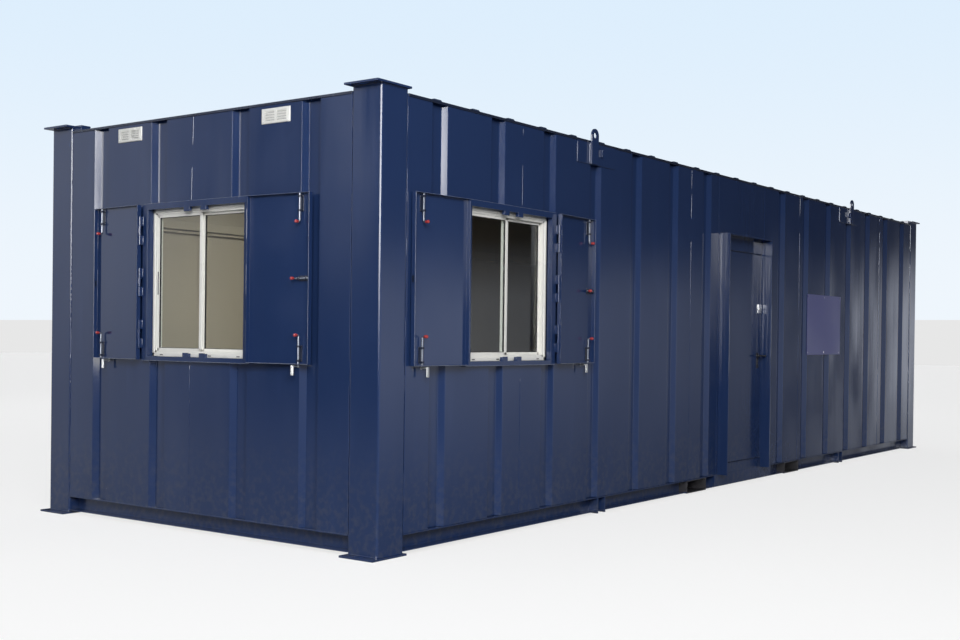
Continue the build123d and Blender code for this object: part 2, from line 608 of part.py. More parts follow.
def shutter_leaf(name, frame, centre, hand):
    """A shutter leaf, folded back beside its window: a steel pan that opens away from the wall."""
    leaf = leaf_frame(frame, centre, hand)
    back = hand * LEAF_THICKNESS / 2
    with BuildPart() as pan:
        block(leaf, (LEAF_EDGE_GAP, LEAF_REACH), (-back, back), (LEAF_BOTTOM, LEAF_TOP))
        inner_x = (LEAF_EDGE_GAP + LEAF_SHEET, LEAF_REACH - LEAF_SHEET)
        inner_z = (LEAF_BOTTOM + LEAF_SHEET, LEAF_TOP - LEAF_SHEET)
        block(leaf, inner_x, (-back, back - hand * LEAF_SHEET), inner_z, Mode.SUBTRACT)
        for height in LEAF_HINGE_HEIGHTS:
            span = knuckle_span(height, LEAF_KNUCKLE_LENGTH, 0)
            upright_rod(leaf, 0, 0, LEAF_KNUCKLE_RADIUS, span)
            block(leaf, (0, LEAF_EDGE_GAP), (-LEAF_PIN_RADIUS, LEAF_PIN_RADIUS), span)
            upright_rod(leaf, 0, 0, LEAF_BORE_RADIUS, span, Mode.SUBTRACT)
    write_piece(pan, name)


def slide_bolt(home, plate_length, rod_length):
    """Add to the part in hand a slide bolt: its plate, two straps, rod, and handle with a knob.

    The home plane lies where the bolt meets the leaf's rim, on the face of its sheet, with x along the
    bolt away from the rim and z away from the sheet.
    """
    with BuildSketch(home) as plate:
        with Locations((BOLT_PLATE_EDGE_GAP + plate_length / 2, 0)):
            Rectangle(plate_length, BOLT_PLATE_WIDTH)
    extrude(plate.sketch, amount=BOLT_PLATE_THICKNESS)
    with BuildSketch(home) as straps:
        strap_reach = plate_length - BOLT_STRAP_HEIGHT
        with Locations((BOLT_PLATE_EDGE_GAP + plate_length / 2, 0)):
            with GridLocations(strap_reach, 1, 2, 1):
                Rectangle(BOLT_STRAP_HEIGHT, 2 * BOLT_ROD_RADIUS)
    extrude(straps.sketch, amount=BOLT_STANDOFF)
    rod_start = home.from_local_coords((BOLT_ROD_EDGE_GAP, 0, BOLT_STANDOFF))
    with BuildSketch(Plane(origin=rod_start, x_dir=home.z_dir, z_dir=home.x_dir)) as rod:
        Circle(BOLT_ROD_RADIUS)
    extrude(rod.sketch, amount=rod_length + HANDLE_ROD_RADIUS - BOLT_ROD_EDGE_GAP)
    for radius, near, far in (
        (HANDLE_ROD_RADIUS, BOLT_STANDOFF, KNOB_REACH),
        (KNOB_RADIUS, KNOB_REACH - KNOB_LENGTH, KNOB_REACH),
    ):
        start = home.from_local_coords((rod_length, 0, near))
        with BuildSketch(Plane(origin=start, x_dir=home.x_dir, z_dir=home.z_dir)) as section:
            Circle(radius)
        extrude(section.sketch, amount=far - near)


def shutter_bolts(name, frame, centre, hand):
    """A leaf's upper and lower slide bolts and, on the right leaf, the bolt across its free edge."""
    leaf = leaf_frame(frame, centre, hand)
    bolt_x = LEAF_REACH - BOLT_EDGE_DISTANCE + LEAF_MEETING_GAP / 2
    sheet_y = hand * (LEAF_THICKNESS / 2 - LEAF_SHEET)
    outwards = -hand * leaf.y_dir
    with BuildPart() as bolts:
        for end, inward in ((LEAF_TOP - LEAF_SHEET, -1), (LEAF_BOTTOM + LEAF_SHEET, 1)):
            origin = leaf.from_local_coords((bolt_x, sheet_y, end))
            home = Plane(origin=origin, x_dir=(0, 0, inward), z_dir=outwards)
            slide_bolt(home, BOLT_PLATE_LENGTH, BOLT_HANDLE_DISTANCE)
        if hand > 0:
            edge = (LEAF_REACH - LEAF_SHEET, sheet_y, (LEAF_BOTTOM + LEAF_TOP) / 2)
            home = Plane(origin=leaf.from_local_coords(edge), x_dir=-leaf.x_dir, z_dir=outwards)
            slide_bolt(home, LATCH_LENGTH - 3 * BOLT_PLATE_EDGE_GAP, LATCH_LENGTH)
    write_piece(bolts, name)


window_casing("window_casing_front", FRONT, FRONT_WINDOW_CENTRE)
window_casing("window_casing_end", LEFT_END, END_WINDOW_CENTRE)
window_frame("window_frame_front", FRONT, FRONT_WINDOW_CENTRE)
window_frame("window_frame_end", LEFT_END, END_WINDOW_CENTRE)
window_glass("window_glass_front", FRONT, FRONT_WINDOW_CENTRE)
window_glass("window_glass_end", LEFT_END, END_WINDOW_CENTRE)

SHUTTERS = (
    ("front_left", FRONT, FRONT_WINDOW_CENTRE, -1),
    ("front_right", FRONT, FRONT_WINDOW_CENTRE, 1),
    ("end_left", LEFT_END, END_WINDOW_CENTRE, -1),
    ("end_right", LEFT_END, END_WINDOW_CENTRE, 1),
)
for place, frame, centre, hand in SHUTTERS:
    shutter_leaf(f"shutter_{place}", frame, centre, hand)
    shutter_bolts(f"shutter_bolts_{place}", frame, centre, hand)

with BuildPart() as shutter_catches:
    for place, frame, centre, hand in SHUTTERS:
        leaf = leaf_frame(frame, centre, hand)
        catch_x = LEAF_REACH - CATCH_EDGE_DISTANCE
        arm_z = (LEAF_BOTTOM - CATCH_GAP - BOLT_ROD_RADIUS * 2, LEAF_BOTTOM - CATCH_GAP)
        foot = frame.to_local_coords(leaf.from_local_coords((catch_x, 0, 0)))
        arm_x = (foot.X - BOLT_ROD_RADIUS, foot.X + BOLT_ROD_RADIUS)
        block(frame, arm_x, (foot.Y - LEAF_THICKNESS / 2, WALL_SETBACK), arm_z)
        arm_end = foot.Y - LEAF_THICKNESS / 2
        tongue_x = (arm_x[0] - BOLT_ROD_RADIUS, arm_x[1] + BOLT_ROD_RADIUS)
        tongue_y = (arm_end - BOLT_ROD_RADIUS, arm_end + BOLT_ROD_RADIUS)
        block(frame, tongue_x, tongue_y, (arm_z[1] - CATCH_TONGUE, arm_z[1]))
write_piece(shutter_catches, "shutter_catches")


# ---- Fittings ----

with BuildPart() as vents:
    for frame in (LEFT_END, RIGHT_END):
        for centre in VENT_CENTRES:
            x_range = (centre - VENT_WIDTH / 2, centre + VENT_WIDTH / 2)
            z_range = (VENT_CENTRE_HEIGHT - VENT_HEIGHT / 2, VENT_CENTRE_HEIGHT + VENT_HEIGHT / 2)
            block(frame, x_range, (WALL_SETBACK - VENT_PROUD, WALL_SETBACK), z_range)
write_piece(vents, "vents")

with BuildPart() as notice_board:
    x_range = (BOARD_LEFT, BOARD_LEFT + BOARD_WIDTH)
    z_range = (BOARD_BOTTOM, BOARD_BOTTOM + BOARD_HEIGHT)
    block(FRONT, x_range, (WALL_SETBACK - BOARD_THICKNESS, WALL_SETBACK), z_range)
write_piece(notice_board, "notice_board")

BACKING_FRONT = WALL_SETBACK - LUG_BACKING_THICKNESS
PACKER_FRONT = BACKING_FRONT - LUG_PACKER

with BuildPart() as lug_backings:
    for frame in (FRONT, BACK):
        for side in (-1, 1):
            centre = side * (LUG_CENTRE - LUG_BACKING_SHIFT)
            x_range = (centre - LUG_BACKING_WIDTH / 2, centre + LUG_BACKING_WIDTH / 2)
            block(frame, x_range, (BACKING_FRONT, WALL_SETBACK), (LUG_BOTTOM, ROOF_TOP - TRIM_HEIGHT))
            x_range = (side * LUG_CENTRE - LUG_WIDTH / 2, side * LUG_CENTRE + LUG_WIDTH / 2)
            block(frame, x_range, (PACKER_FRONT, BACKING_FRONT), (LUG_BOTTOM, ROOF_TOP - TRIM_HEIGHT))
write_piece(lug_backings, "lug_backings")

with BuildPart() as lifting_lugs:
    for frame in (FRONT, BACK):
        for side in (-1, 1):
            with BuildSketch(facing(frame, side * LUG_CENTRE, PACKER_FRONT, LUG_HOLE_HEIGHT)):
                Circle(LUG_WIDTH / 2)
                with Locations((0, (LUG_BOTTOM - LUG_HOLE_HEIGHT) / 2)):
                    Rectangle(LUG_WIDTH, LUG_HOLE_HEIGHT - LUG_BOTTOM)
                Circle(LUG_HOLE_RADIUS, mode=Mode.SUBTRACT)
            extrude(amount=LUG_THICKNESS)
write_piece(lifting_lugs, "lifting_lugs")
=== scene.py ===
import bmesh
import bpy
import itertools
import json
import math
import random

from mathutils import Matrix, Vector


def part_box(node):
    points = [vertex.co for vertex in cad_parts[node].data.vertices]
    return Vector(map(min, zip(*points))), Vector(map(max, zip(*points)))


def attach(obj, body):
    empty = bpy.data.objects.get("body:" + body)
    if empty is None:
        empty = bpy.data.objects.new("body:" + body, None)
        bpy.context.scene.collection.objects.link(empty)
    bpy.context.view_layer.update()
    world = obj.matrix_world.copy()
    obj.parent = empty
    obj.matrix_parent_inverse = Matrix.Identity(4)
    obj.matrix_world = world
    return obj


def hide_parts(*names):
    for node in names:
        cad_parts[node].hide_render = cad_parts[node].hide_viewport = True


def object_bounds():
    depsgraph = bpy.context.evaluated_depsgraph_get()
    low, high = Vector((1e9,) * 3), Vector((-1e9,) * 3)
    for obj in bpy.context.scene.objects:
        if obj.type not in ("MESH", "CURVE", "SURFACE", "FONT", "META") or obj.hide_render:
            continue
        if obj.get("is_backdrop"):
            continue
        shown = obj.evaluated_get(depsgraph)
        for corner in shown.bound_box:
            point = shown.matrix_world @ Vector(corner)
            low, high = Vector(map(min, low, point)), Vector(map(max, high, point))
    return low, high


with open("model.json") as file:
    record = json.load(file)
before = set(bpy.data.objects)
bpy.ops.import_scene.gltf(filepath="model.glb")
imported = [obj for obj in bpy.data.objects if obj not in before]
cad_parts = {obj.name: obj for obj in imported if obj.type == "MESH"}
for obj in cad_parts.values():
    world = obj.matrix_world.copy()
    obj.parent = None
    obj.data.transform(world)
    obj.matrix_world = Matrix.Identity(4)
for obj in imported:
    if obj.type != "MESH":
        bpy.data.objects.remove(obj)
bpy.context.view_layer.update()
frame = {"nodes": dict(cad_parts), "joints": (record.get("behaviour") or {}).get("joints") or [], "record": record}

NODES = frame["nodes"]


def add_object(name, data):
    """Put a new object that shows the data into the scene."""
    made = bpy.data.objects.new(name, data)
    bpy.context.collection.objects.link(made)
    return made


# ---- camera

CAMERA_YAW = math.radians(36.204)
CAMERA_PITCH = math.radians(-0.488)
CAMERA_ROLL = math.radians(0.704)
CAMERA_PLACE = Vector((-10.114, -6.056, 1.261))
FOCAL_LENGTH = 46.33159
LENS_SHIFT = 0.028522
CAMERA_REACH = 400

cos_pitch = math.cos(CAMERA_PITCH)
forward = Vector((cos_pitch * math.cos(CAMERA_YAW), cos_pitch * math.sin(CAMERA_YAW), math.sin(CAMERA_PITCH)))
level_right = Vector((math.sin(CAMERA_YAW), -math.cos(CAMERA_YAW), 0))
level_up = level_right.cross(forward)
right = math.cos(CAMERA_ROLL) * level_right + math.sin(CAMERA_ROLL) * level_up
up = -math.sin(CAMERA_ROLL) * level_right + math.cos(CAMERA_ROLL) * level_up

camera_data = bpy.data.cameras.new("camera")
camera_data.lens = FOCAL_LENGTH
camera_data.shift_y = LENS_SHIFT
camera_data.clip_end = CAMERA_REACH
camera = add_object("camera", camera_data)
camera.matrix_world = Matrix.Translation(CAMERA_PLACE) @ Matrix((right, up, -forward)).transposed().to_4x4()
bpy.context.scene.camera = camera
bpy.context.scene.view_settings.view_transform = "Standard"


# ---- materials

def rgba(color):
    """A plain colour with full alpha, or a node's output as it is."""
    if isinstance(color, tuple) and len(color) == 3:
        return (*color, 1.0)
    return color


class Graph:
    """A node tree built step by step: each call adds one node and returns its output."""

    def __init__(self, tree):
        self.tree = tree

    def node(self, kind, **values):
        node = self.tree.nodes.new(kind)
        for key, value in values.items():
            setattr(node, key, value)
        return node

    def link(self, source, socket):
        if isinstance(source, (int, float, tuple, list)):
            socket.default_value = source
        else:
            self.tree.links.new(source, socket)

    def ramp(self, source, low, high, low_value=0.0, high_value=1.0, kind="SMOOTHSTEP"):
        """Map source from low..high to a range of values, held at its ends."""
        mapped = self.node("ShaderNodeMapRange", interpolation_type=kind)
        self.link(source, mapped.inputs["Value"])
        limits = {"From Min": low, "From Max": high, "To Min": low_value, "To Max": high_value}
        for name, value in limits.items():
            mapped.inputs[name].default_value = value
        return mapped.outputs["Result"]

    def math(self, kind, first, second):
        node = self.node("ShaderNodeMath", operation=kind)
        self.link(first, node.inputs[0])
        self.link(second, node.inputs[1])
        return node.outputs[0]

    def times(self, *factors):
        result = factors[0]
        for factor in factors[1:]:
            result = self.math("MULTIPLY", result, factor)
        return result

    def plus(self, *terms):
        result = terms[0]
        for term in terms[1:]:
            result = self.math("ADD", result, term)
        return result

    def mix(self, fraction, first, second):
        node = self.node("ShaderNodeMix", data_type="RGBA")
        self.link(fraction, node.inputs["Factor"])
        self.link(rgba(first), node.inputs["A"])
        self.link(rgba(second), node.inputs["B"])
        return node.outputs["Result"]

    def curve(self, source, *points):
        """A value that runs straight between (place, value) points as source goes along them."""
        low, high = points[0][0], points[-1][0]
        ramp = self.node("ShaderNodeValToRGB")
        self.link(self.ramp(source, low, high, kind="LINEAR"), ramp.inputs["Fac"])
        stops = ramp.color_ramp.elements
        stops[0].position, stops[1].position = 0.0, 1.0
        for place, value in points:
            position = (place - low) / (high - low)
            stop = stops[0] if position <= 0 else stops[-1] if position >= 1 else stops.new(position)
            stop.color = (value, value, value, 1)
        return ramp.outputs["Color"]

    def either(self, fraction, first, second):
        """A mix of two surfaces, which becomes the surface of the material."""
        node = self.node("ShaderNodeMixShader")
        self.link(fraction, node.inputs[0])
        self.link(first, node.inputs[1])
        self.link(second, node.inputs[2])
        self.link(node.outputs[0], self.tree.nodes["Material Output"].inputs["Surface"])


class Shader(Graph):
    """A node material, with its textures in the object's own coordinates."""

    def __init__(self, name):
        self.material = bpy.data.materials.new(name)
        self.material.use_nodes = True
        super().__init__(self.material.node_tree)
        self.bsdf = self.tree.nodes["Principled BSDF"]
        self.place = self.node("ShaderNodeTexCoord").outputs["Object"]
        split = self.node("ShaderNodeSeparateXYZ")
        self.link(self.place, split.inputs[0])
        self.height = split.outputs["Z"]

    def noise(self, scale, detail, stretch=(1, 1, 1), offset=(0, 0, 0)):
        """Noise over the object's coordinates, which are stretched and then shifted."""
        mapping = self.node("ShaderNodeMapping")
        self.link(self.place, mapping.inputs["Vector"])
        mapping.inputs["Scale"].default_value = stretch
        mapping.inputs["Location"].default_value = offset
        noise = self.node("ShaderNodeTexNoise")
        self.link(mapping.outputs["Vector"], noise.inputs["Vector"])
        noise.inputs["Scale"].default_value = scale
        noise.inputs["Detail"].default_value = detail
        return noise.outputs["Fac"]

    def bump(self, source, strength, distance, below=None):
        node = self.node("ShaderNodeBump")
        node.inputs["Strength"].default_value = strength
        node.inputs["Distance"].default_value = distance
        self.link(source, node.inputs["Height"])
        if below is not None:
            self.link(below, node.inputs["Normal"])
        return node.outputs["Normal"]

    def finish(self, color, roughness, normal=None, **fixed):
        self.link(rgba(color), self.bsdf.inputs["Base Color"])
        self.link(roughness, self.bsdf.inputs["Roughness"])
        if normal is not None:
            self.link(normal, self.bsdf.inputs["Normal"])
        for key, value in fixed.items():
            self.bsdf.inputs[key.replace("_", " ")].default_value = value
        return self.material


DUST = (0.075, 0.080, 0.095)


def paint(name, base, roughness=0.11, waves=1.0, dust=0.35, **fixed):
    """Paint on sheet steel: faint patches, pale upright streaks that are painted highlights, slow waves of the
    sheet, orange peel and dust low down.
    """
    shader = Shader(name)
    patches = shader.noise(1.1, 4)
    tone = shader.mix(patches, tuple(c * 0.90 for c in base), tuple(c * 1.10 for c in base))
    # Pale upright streaks: painted highlights of light caught along the sheet, mixed into the colour.
    highlight_streak = shader.ramp(shader.noise(7, 5, stretch=(1, 1, 0.12), offset=(3, 1, 7)), 0.55, 0.8, 0, 0.22)
    tone = shader.mix(highlight_streak, tone, tuple(c * 1.4 + 0.006 for c in base))
    low = shader.ramp(shader.height, 0.05, 0.75, dust, 0.0)
    speckle = shader.ramp(shader.noise(26, 6, offset=(5, 5, 5)), 0.40, 0.72)
    tone = shader.mix(shader.times(low, speckle), tone, DUST)
    gloss = shader.ramp(shader.noise(2.7, 6, offset=(9, 2, 4)), 0.35, 0.7, roughness * 0.85, roughness * 1.25)
    gloss = shader.plus(gloss, shader.times(low, 0.2))
    slow = shader.bump(shader.noise(1.5, 1, stretch=(1, 1, 0.5)), 0.5 * waves, 0.02)
    rolling = shader.noise(9.0, 2, stretch=(1, 1, 0.08), offset=(2, 6, 1))
    rolled = shader.bump(rolling, 0.25 * waves, 0.002, slow)
    peel = shader.bump(shader.noise(330, 2), 0.06, 0.0006, rolled)
    return shader.finish(tone, gloss, peel, **fixed)


def rippled(name, base):
    """The same gloss paint over hand-rolled plate, with long upright ripples."""
    shader = Shader(name)
    tone = shader.mix(shader.noise(1.4, 4), tuple(c * 0.88 for c in base), tuple(c * 1.12 for c in base))
    gloss = shader.ramp(shader.noise(3.1, 5, offset=(1, 4, 2)), 0.35, 0.7, 0.08, 0.15)
    broad = shader.bump(shader.noise(26, 2, stretch=(1, 1, 0.03)), 0.8, 0.006)
    fine = shader.bump(shader.noise(90, 3, stretch=(1, 1, 0.05), offset=(3, 3, 3)), 0.5, 0.0012, broad)
    return shader.finish(tone, gloss, fine)


def simple(name, base, roughness, metallic=0.0, grain=60, spread=0.12, bump=0.1, depth=0.001, **fixed):
    """A plain finish with slight mottling of colour and gloss, and a fine bump."""
    shader = Shader(name)
    mottle = shader.noise(grain, 4)
    broad = shader.noise(grain / 12, 3, offset=(4, 8, 1))
    low = tuple(c * (1 - spread) for c in base)
    high = tuple(min(1, c * (1 + spread)) for c in base)
    tone = shader.mix(shader.times(shader.plus(mottle, broad), 0.5), low, high)
    gloss = shader.ramp(broad, 0.3, 0.7, roughness * 0.8, min(1, roughness * 1.25))
    return shader.finish(tone, gloss, shader.bump(mottle, bump, depth), Metallic=metallic, **fixed)


NAVY = (0.0150, 0.0330, 0.1000)
MATERIALS = {
    "navy_paint": paint("navy_paint", NAVY),
    "rippled_paint": rippled("rippled_paint", NAVY),
    "dark_paint": paint("dark_paint", (0.012, 0.018, 0.040), 0.22, 0.5),
    "roof_paint": paint("roof_paint", (0.032, 0.048, 0.092), 0.62, 0.6, 0.0, Specular_IOR_Level=0.0),
    "white_frame": simple("white_frame", (0.80, 0.79, 0.74), 0.30, grain=30, spread=0.05),
    "bright_steel": simple("bright_steel", (0.66, 0.67, 0.68), 0.25, 1.0, 140, 0.10, 0.2),
    "bolt_steel": simple("bolt_steel", (0.20, 0.22, 0.26), 0.38, 0.7, 150, 0.35, 0.35),
    # A lighter edge finish: a painted highlight where the rims catch the light, with some paint wear.
    "edge_highlight_and_wear": simple("edge_highlight_and_wear", (0.17, 0.20, 0.28), 0.30, 0.0, 90, 0.55, 0.3),
    "galvanised": simple("galvanised", (0.62, 0.63, 0.62), 0.42, 0.7, 110, 0.25, 0.25),
    "black_handle": simple("black_handle", (0.012, 0.012, 0.014), 0.30, grain=120, spread=0.3),
    "timber_floor": simple("timber_floor", (0.22, 0.18, 0.13), 0.5, grain=25, spread=0.2),
    "ceiling_board": simple("ceiling_board", (0.32, 0.27, 0.21), 0.6, grain=22, spread=0.06),
    "lining_board": simple("lining_board", (0.36, 0.32, 0.25), 0.5, grain=16, spread=0.06),
    "white_vent": simple("white_vent", (0.80, 0.80, 0.76), 0.4, grain=40, spread=0.05),
    "board_sheet": simple("board_sheet", (0.055, 0.060, 0.240), 0.30, grain=14, spread=0.10),
    "pocket_steel": simple("pocket_steel", (0.022, 0.021, 0.024), 0.6, grain=30, spread=0.45, bump=0.4),
    "red_knob": simple("red_knob", (0.40, 0.045, 0.045), 0.16, grain=80, spread=0.12),
}


def glazing():
    """Clear glass, faintly smeared, that mirrors more the more it is seen edge on."""
    glass = Shader("glazing")
    tint = glass.mix(glass.noise(1.2, 2), (0.90, 0.93, 0.92), (0.96, 0.98, 0.97))
    smears = glass.ramp(glass.noise(5, 5), 0.45, 0.8, 0.0, 0.035)
    clear = glass.node("ShaderNodeBsdfTransparent")
    glass.link(tint, clear.inputs["Color"])
    mirror = glass.node("ShaderNodeBsdfGlossy")
    glass.link(smears, mirror.inputs["Roughness"])
    glass.link(glass.bump(glass.noise(2.2, 1), 0.05, 0.004), mirror.inputs["Normal"])
    edge_on = glass.node("ShaderNodeLayerWeight").outputs["Facing"]
    share = glass.plus(0.04, glass.times(glass.math("POWER", edge_on, 5.0), 0.96))
    glass.either(share, clear.outputs[0], mirror.outputs[0])
    glass.tree.nodes.remove(glass.bsdf)
    return glass.material


MATERIALS["glazing"] = glazing()


# ---- mesh building

def about(middle, reach):
    """A span that reaches as far to either side of its middle."""
    return middle - reach, middle + reach


def circle(middle, radius, across, other, sides):
    angles = [2 * math.pi * j / sides for j in range(sides)]
    return [middle + radius * (math.cos(a) * across + math.sin(a) * other) for a in angles]


class Shape:
    """Closed solids gathered into one mesh. They are given in metres, in a frame of the shape's own."""

    def __init__(self, place=Matrix.Identity(4)):
        self.place = place
        self.points = []
        self.faces = []

    def add(self, points, faces):
        start = len(self.points)
        self.points += [self.place @ Vector(point) for point in points]
        self.faces += [[start + index for index in face] for face in faces]

    def block(self, x, y, z, edge=0.0015):
        """A box between pairs of distances, with every edge chamfered."""
        spans = [sorted(pair) for pair in (x, y, z)]
        edge = min([edge] + [(high - low) * 0.3 for low, high in spans])
        corners = list(itertools.product((0, 1), repeat=3))
        points, index = [], {}
        for corner in corners:
            for axis in range(3):
                index[corner, axis] = len(points)
                point = [pair[side] + edge * (1 - 2 * side) for pair, side in zip(spans, corner)]
                point[axis] = spans[axis][corner[axis]]
                points.append(point)
        faces = [[index[corner, axis] for axis in range(3)] for corner in corners]
        for axis in range(3):
            first, second = [i for i in range(3) if i != axis]

            def at(side, a, b):
                corner = [a, b]
                corner.insert(axis, side)
                return tuple(corner)

            for side in (0, 1):
                faces.append([index[at(side, a, b), axis] for a, b in ((0, 0), (0, 1), (1, 1), (1, 0))])
            for a, b in itertools.product((0, 1), repeat=2):
                near, far = at(0, a, b), at(1, a, b)
                faces.append([index[near, first], index[far, first], index[far, second], index[near, second]])
        self.add(points, faces)

    def rings(self, rings):
        """A skin over rings of points, capped at both ends."""
        count = len(rings[0])
        faces = []
        for i in range(len(rings) - 1):
            near, far = i * count, (i + 1) * count
            for j in range(count):
                k = (j + 1) % count
                faces.append([near + j, near + k, far + k, far + j])
        faces.append(list(range(count)))
        faces.append([len(rings) * count - 1 - j for j in range(count)])
        self.add([point for ring in rings for point in ring], faces)

    def tube(self, path, radii, sides=10):
        """A round bar along a path. Radii is one radius, or one for each point."""
        path = [Vector(point) for point in path]
        if isinstance(radii, (int, float)):
            radii = [radii] * len(path)
        rings, across = [], None
        for i, (point, radius) in enumerate(zip(path, radii)):
            along = (path[min(i + 1, len(path) - 1)] - path[max(i - 1, 0)]).normalized()
            if across is None:
                across = along.orthogonal()
            across = (across - along * across.dot(along)).normalized()
            rings.append(circle(point, radius, across, along.cross(across), sides))
        self.rings(rings)

    def rod(self, start, end, radius, sides=16, edge=0.0008):
        """A straight round bar with chamfered ends."""
        start, end = Vector(start), Vector(end)
        step = (end - start).normalized() * edge
        tip = radius - edge
        self.tube([start, start + step, end - step, end], [tip, radius, radius, tip], sides)

    def turned(self, start, direction, profile, sides=20):
        """A turned piece along a direction: profile is (distance, radius) pairs."""
        start, direction = Vector(start), Vector(direction).normalized()
        across = direction.orthogonal().normalized()
        other = direction.cross(across)
        self.rings([circle(start + direction * distance, radius, across, other, sides)
                    for distance, radius in profile])

    def bead(self, start, end, radius, seed, gap=0.0, step=0.012):
        """A weld bead: lumps of uneven size from start to end, with bare gaps as a share of its length."""
        chance = random.Random(seed)
        start, end = Vector(start), Vector(end)
        length = (end - start).length
        direction = (end - start).normalized()
        place = 0.0
        while place < length - step:
            run = min(length - place, chance.uniform(0.12, 0.5))
            count = max(3, int(run / step))
            path, radii = [], []
            for i in range(count + 1):
                path.append(start + direction * (place + run * i / count) + Vector(
                    [chance.uniform(-0.12, 0.12) * radius for _ in range(3)]))
                radii.append(radius * chance.uniform(0.72, 1.0) * (0.45 if i in (0, count) else 1))
            self.tube(path, radii, 6)
            place += run + (chance.uniform(0.03, 0.2) if chance.random() < gap else 0.0)

    def upright(self, x, y, z, *bead):
        """A weld bead straight up over a span of z."""
        self.bead((x, y, z[0]), (x, y, z[1]), *bead)

    def level(self, x, y, z, *bead):
        """A weld bead straight along a span of x."""
        self.bead((x[0], y, z), (x[1], y, z), *bead)

    def sheet(self, s_values, t_values, front, back, hole=None):
        """A wall of cells between a front and a back surface y(x, z), with the cells of a hole left out."""
        columns, rows = len(s_values), len(t_values)
        s_middles = [(first + second) / 2 for first, second in zip(s_values, s_values[1:])]
        t_middles = [(first + second) / 2 for first, second in zip(t_values, t_values[1:])]
        kept = {(i, j) for i, s in enumerate(s_middles) for j, t in enumerate(t_middles)
                if hole is None or not hole(s, t)}
        points = [(s, front(s, t), t) for t in t_values for s in s_values]
        points += [(s, back(s, t), t) for t in t_values for s in s_values]
        behind = columns * rows
        used, faces = {}, []

        def at(i, j, side):
            key = j * columns + i + side * behind
            return used.setdefault(key, len(used))

        for i, j in sorted(kept):
            around = [(i, j), (i + 1, j), (i + 1, j + 1), (i, j + 1)]
            faces.append([at(a, b, 0) for a, b in around])
            faces.append([at(a, b, 1) for a, b in reversed(around)])
            for k, neighbour in enumerate(((i, j - 1), (i + 1, j), (i, j + 1), (i - 1, j))):
                if neighbour not in kept:
                    (a, b), (c, d) = around[k], around[(k + 1) % 4]
                    faces.append([at(c, d, 0), at(a, b, 0), at(a, b, 1), at(c, d, 1)])
        self.add([points[key] for key in used], faces)


def spaced(low, high, step, *extra):
    """Values from low to high, no more than a step apart, with some extra ones among them."""
    stops = sorted({low, high, *[value for value in extra if low < value < high]})
    values = []
    for first, second in zip(stops, stops[1:]):
        count = max(1, math.ceil((second - first) / step))
        values += [first + (second - first) * i / count for i in range(count)]
    return values + [high]


def piece(name, body, slot, shape, *replaced, finish=None):
    """Make one piece of a shape: it rides on a body and may stand for CAD nodes, which it hides.

    It has the slot's finish, unless another finish is named."""
    mesh = bpy.data.meshes.new(name)
    mesh.from_pydata(shape.points, [], shape.faces)
    mesh.materials.append(MATERIALS[finish or slot])
    turned = bmesh.new()
    turned.from_mesh(mesh)
    bmesh.ops.recalc_face_normals(turned, faces=turned.faces)
    turned.to_mesh(mesh)
    turned.free()
    mesh.shade_smooth()
    mesh.set_sharp_from_angle(angle=math.radians(50))
    made = add_object(name, mesh)
    made.modifiers.new("normals", "WEIGHTED_NORMAL").keep_sharp = True
    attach(made, body)
    if replaced:
        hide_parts(*replaced)


# Each side has its own frame: x to the right as seen from outside, y inwards, z up.
POST_LOW, POST_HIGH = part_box("corner_post_front_left")
HALF_LENGTH, HALF_WIDTH = -POST_LOW.x, -POST_LOW.y


def side_frame(turn, distance):
    return Matrix.Rotation(math.radians(turn), 4, "Z") @ Matrix.Translation((0, -distance, 0))


FRONT = side_frame(0, HALF_WIDTH)
BACK = side_frame(180, HALF_WIDTH)
LEFT_END = side_frame(-90, HALF_LENGTH)
RIGHT_END = side_frame(90, HALF_LENGTH)
WINDOWS = {"front": FRONT, "end": LEFT_END}


def span(node, side, part=None):
    """Lowest and highest corner of a CAD node in a side's frame, or of the points of it that part picks."""
    back = side.inverted()
    points = [back @ vertex.co for vertex in NODES[node].data.vertices]
    if part is not None:
        points = [point for point in points if part(point)]
    low = Vector([min(point[i] for point in points) for i in range(3)])
    high = Vector([max(point[i] for point in points) for i in range(3)])
    return low, high


# ---- CAD nodes that stay: finish and rounded edges

SLOTS = {entry["node"]: entry["material_slot"] for entry in frame["record"]["subparts"]}
PLAIN_EDGE = 0.0015
EDGES = {
    "corner_post": 0.0035, "casing": 0.0022, "shutter_front": 0.0018, "shutter_end": 0.0018, "wall": 0.004,
    "roof_sheet": 0.004, "lifting_lugs": 0.002,
}

for name, node in NODES.items():
    for slot in node.material_slots:
        slot.material = MATERIALS["rippled_paint" if name == "door_surround" else SLOTS[name]]
    node.modifiers.new("weld", "WELD").merge_threshold = 0.00002
    flat = node.modifiers.new("flat", "DECIMATE")
    flat.decimate_type = "DISSOLVE"
    flat.angle_limit = math.radians(0.5)
    edges = node.modifiers.new("edges", "BEVEL")
    edges.width = next((edge for part, edge in EDGES.items() if part in name), PLAIN_EDGE)
    edges.segments = 4 if "wall" in name else 2
    edges.limit_method = "ANGLE"
    edges.angle_limit = math.radians(40)
    node.modifiers.new("normals", "WEIGHTED_NORMAL").keep_sharp = True
    node.data.shade_smooth()


# ---- inside: linings with cover strips

WALL_INNER = span("front_wall_left", FRONT)[1].y
FLOOR_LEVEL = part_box("floor_deck")[1].z
CEILING_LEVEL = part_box("ceiling")[0].z
LINING_GAP = 0.0005
LINING_THICKNESS = 0.004
BOARD_PITCH = 1.2
JOINTS_EACH_WAY = 4
COVER_WIDTH = 0.045
COVER_THICKNESS = 0.003
SKIRTING_HEIGHT = 0.07
SKIRTING_DEPTH = 0.012
LEDGE = (2.055, 2.125)
POST_GAP = 0.002
LONG_HALF = -POST_HIGH.x - POST_GAP
END_HALF = -POST_HIGH.y - POST_GAP


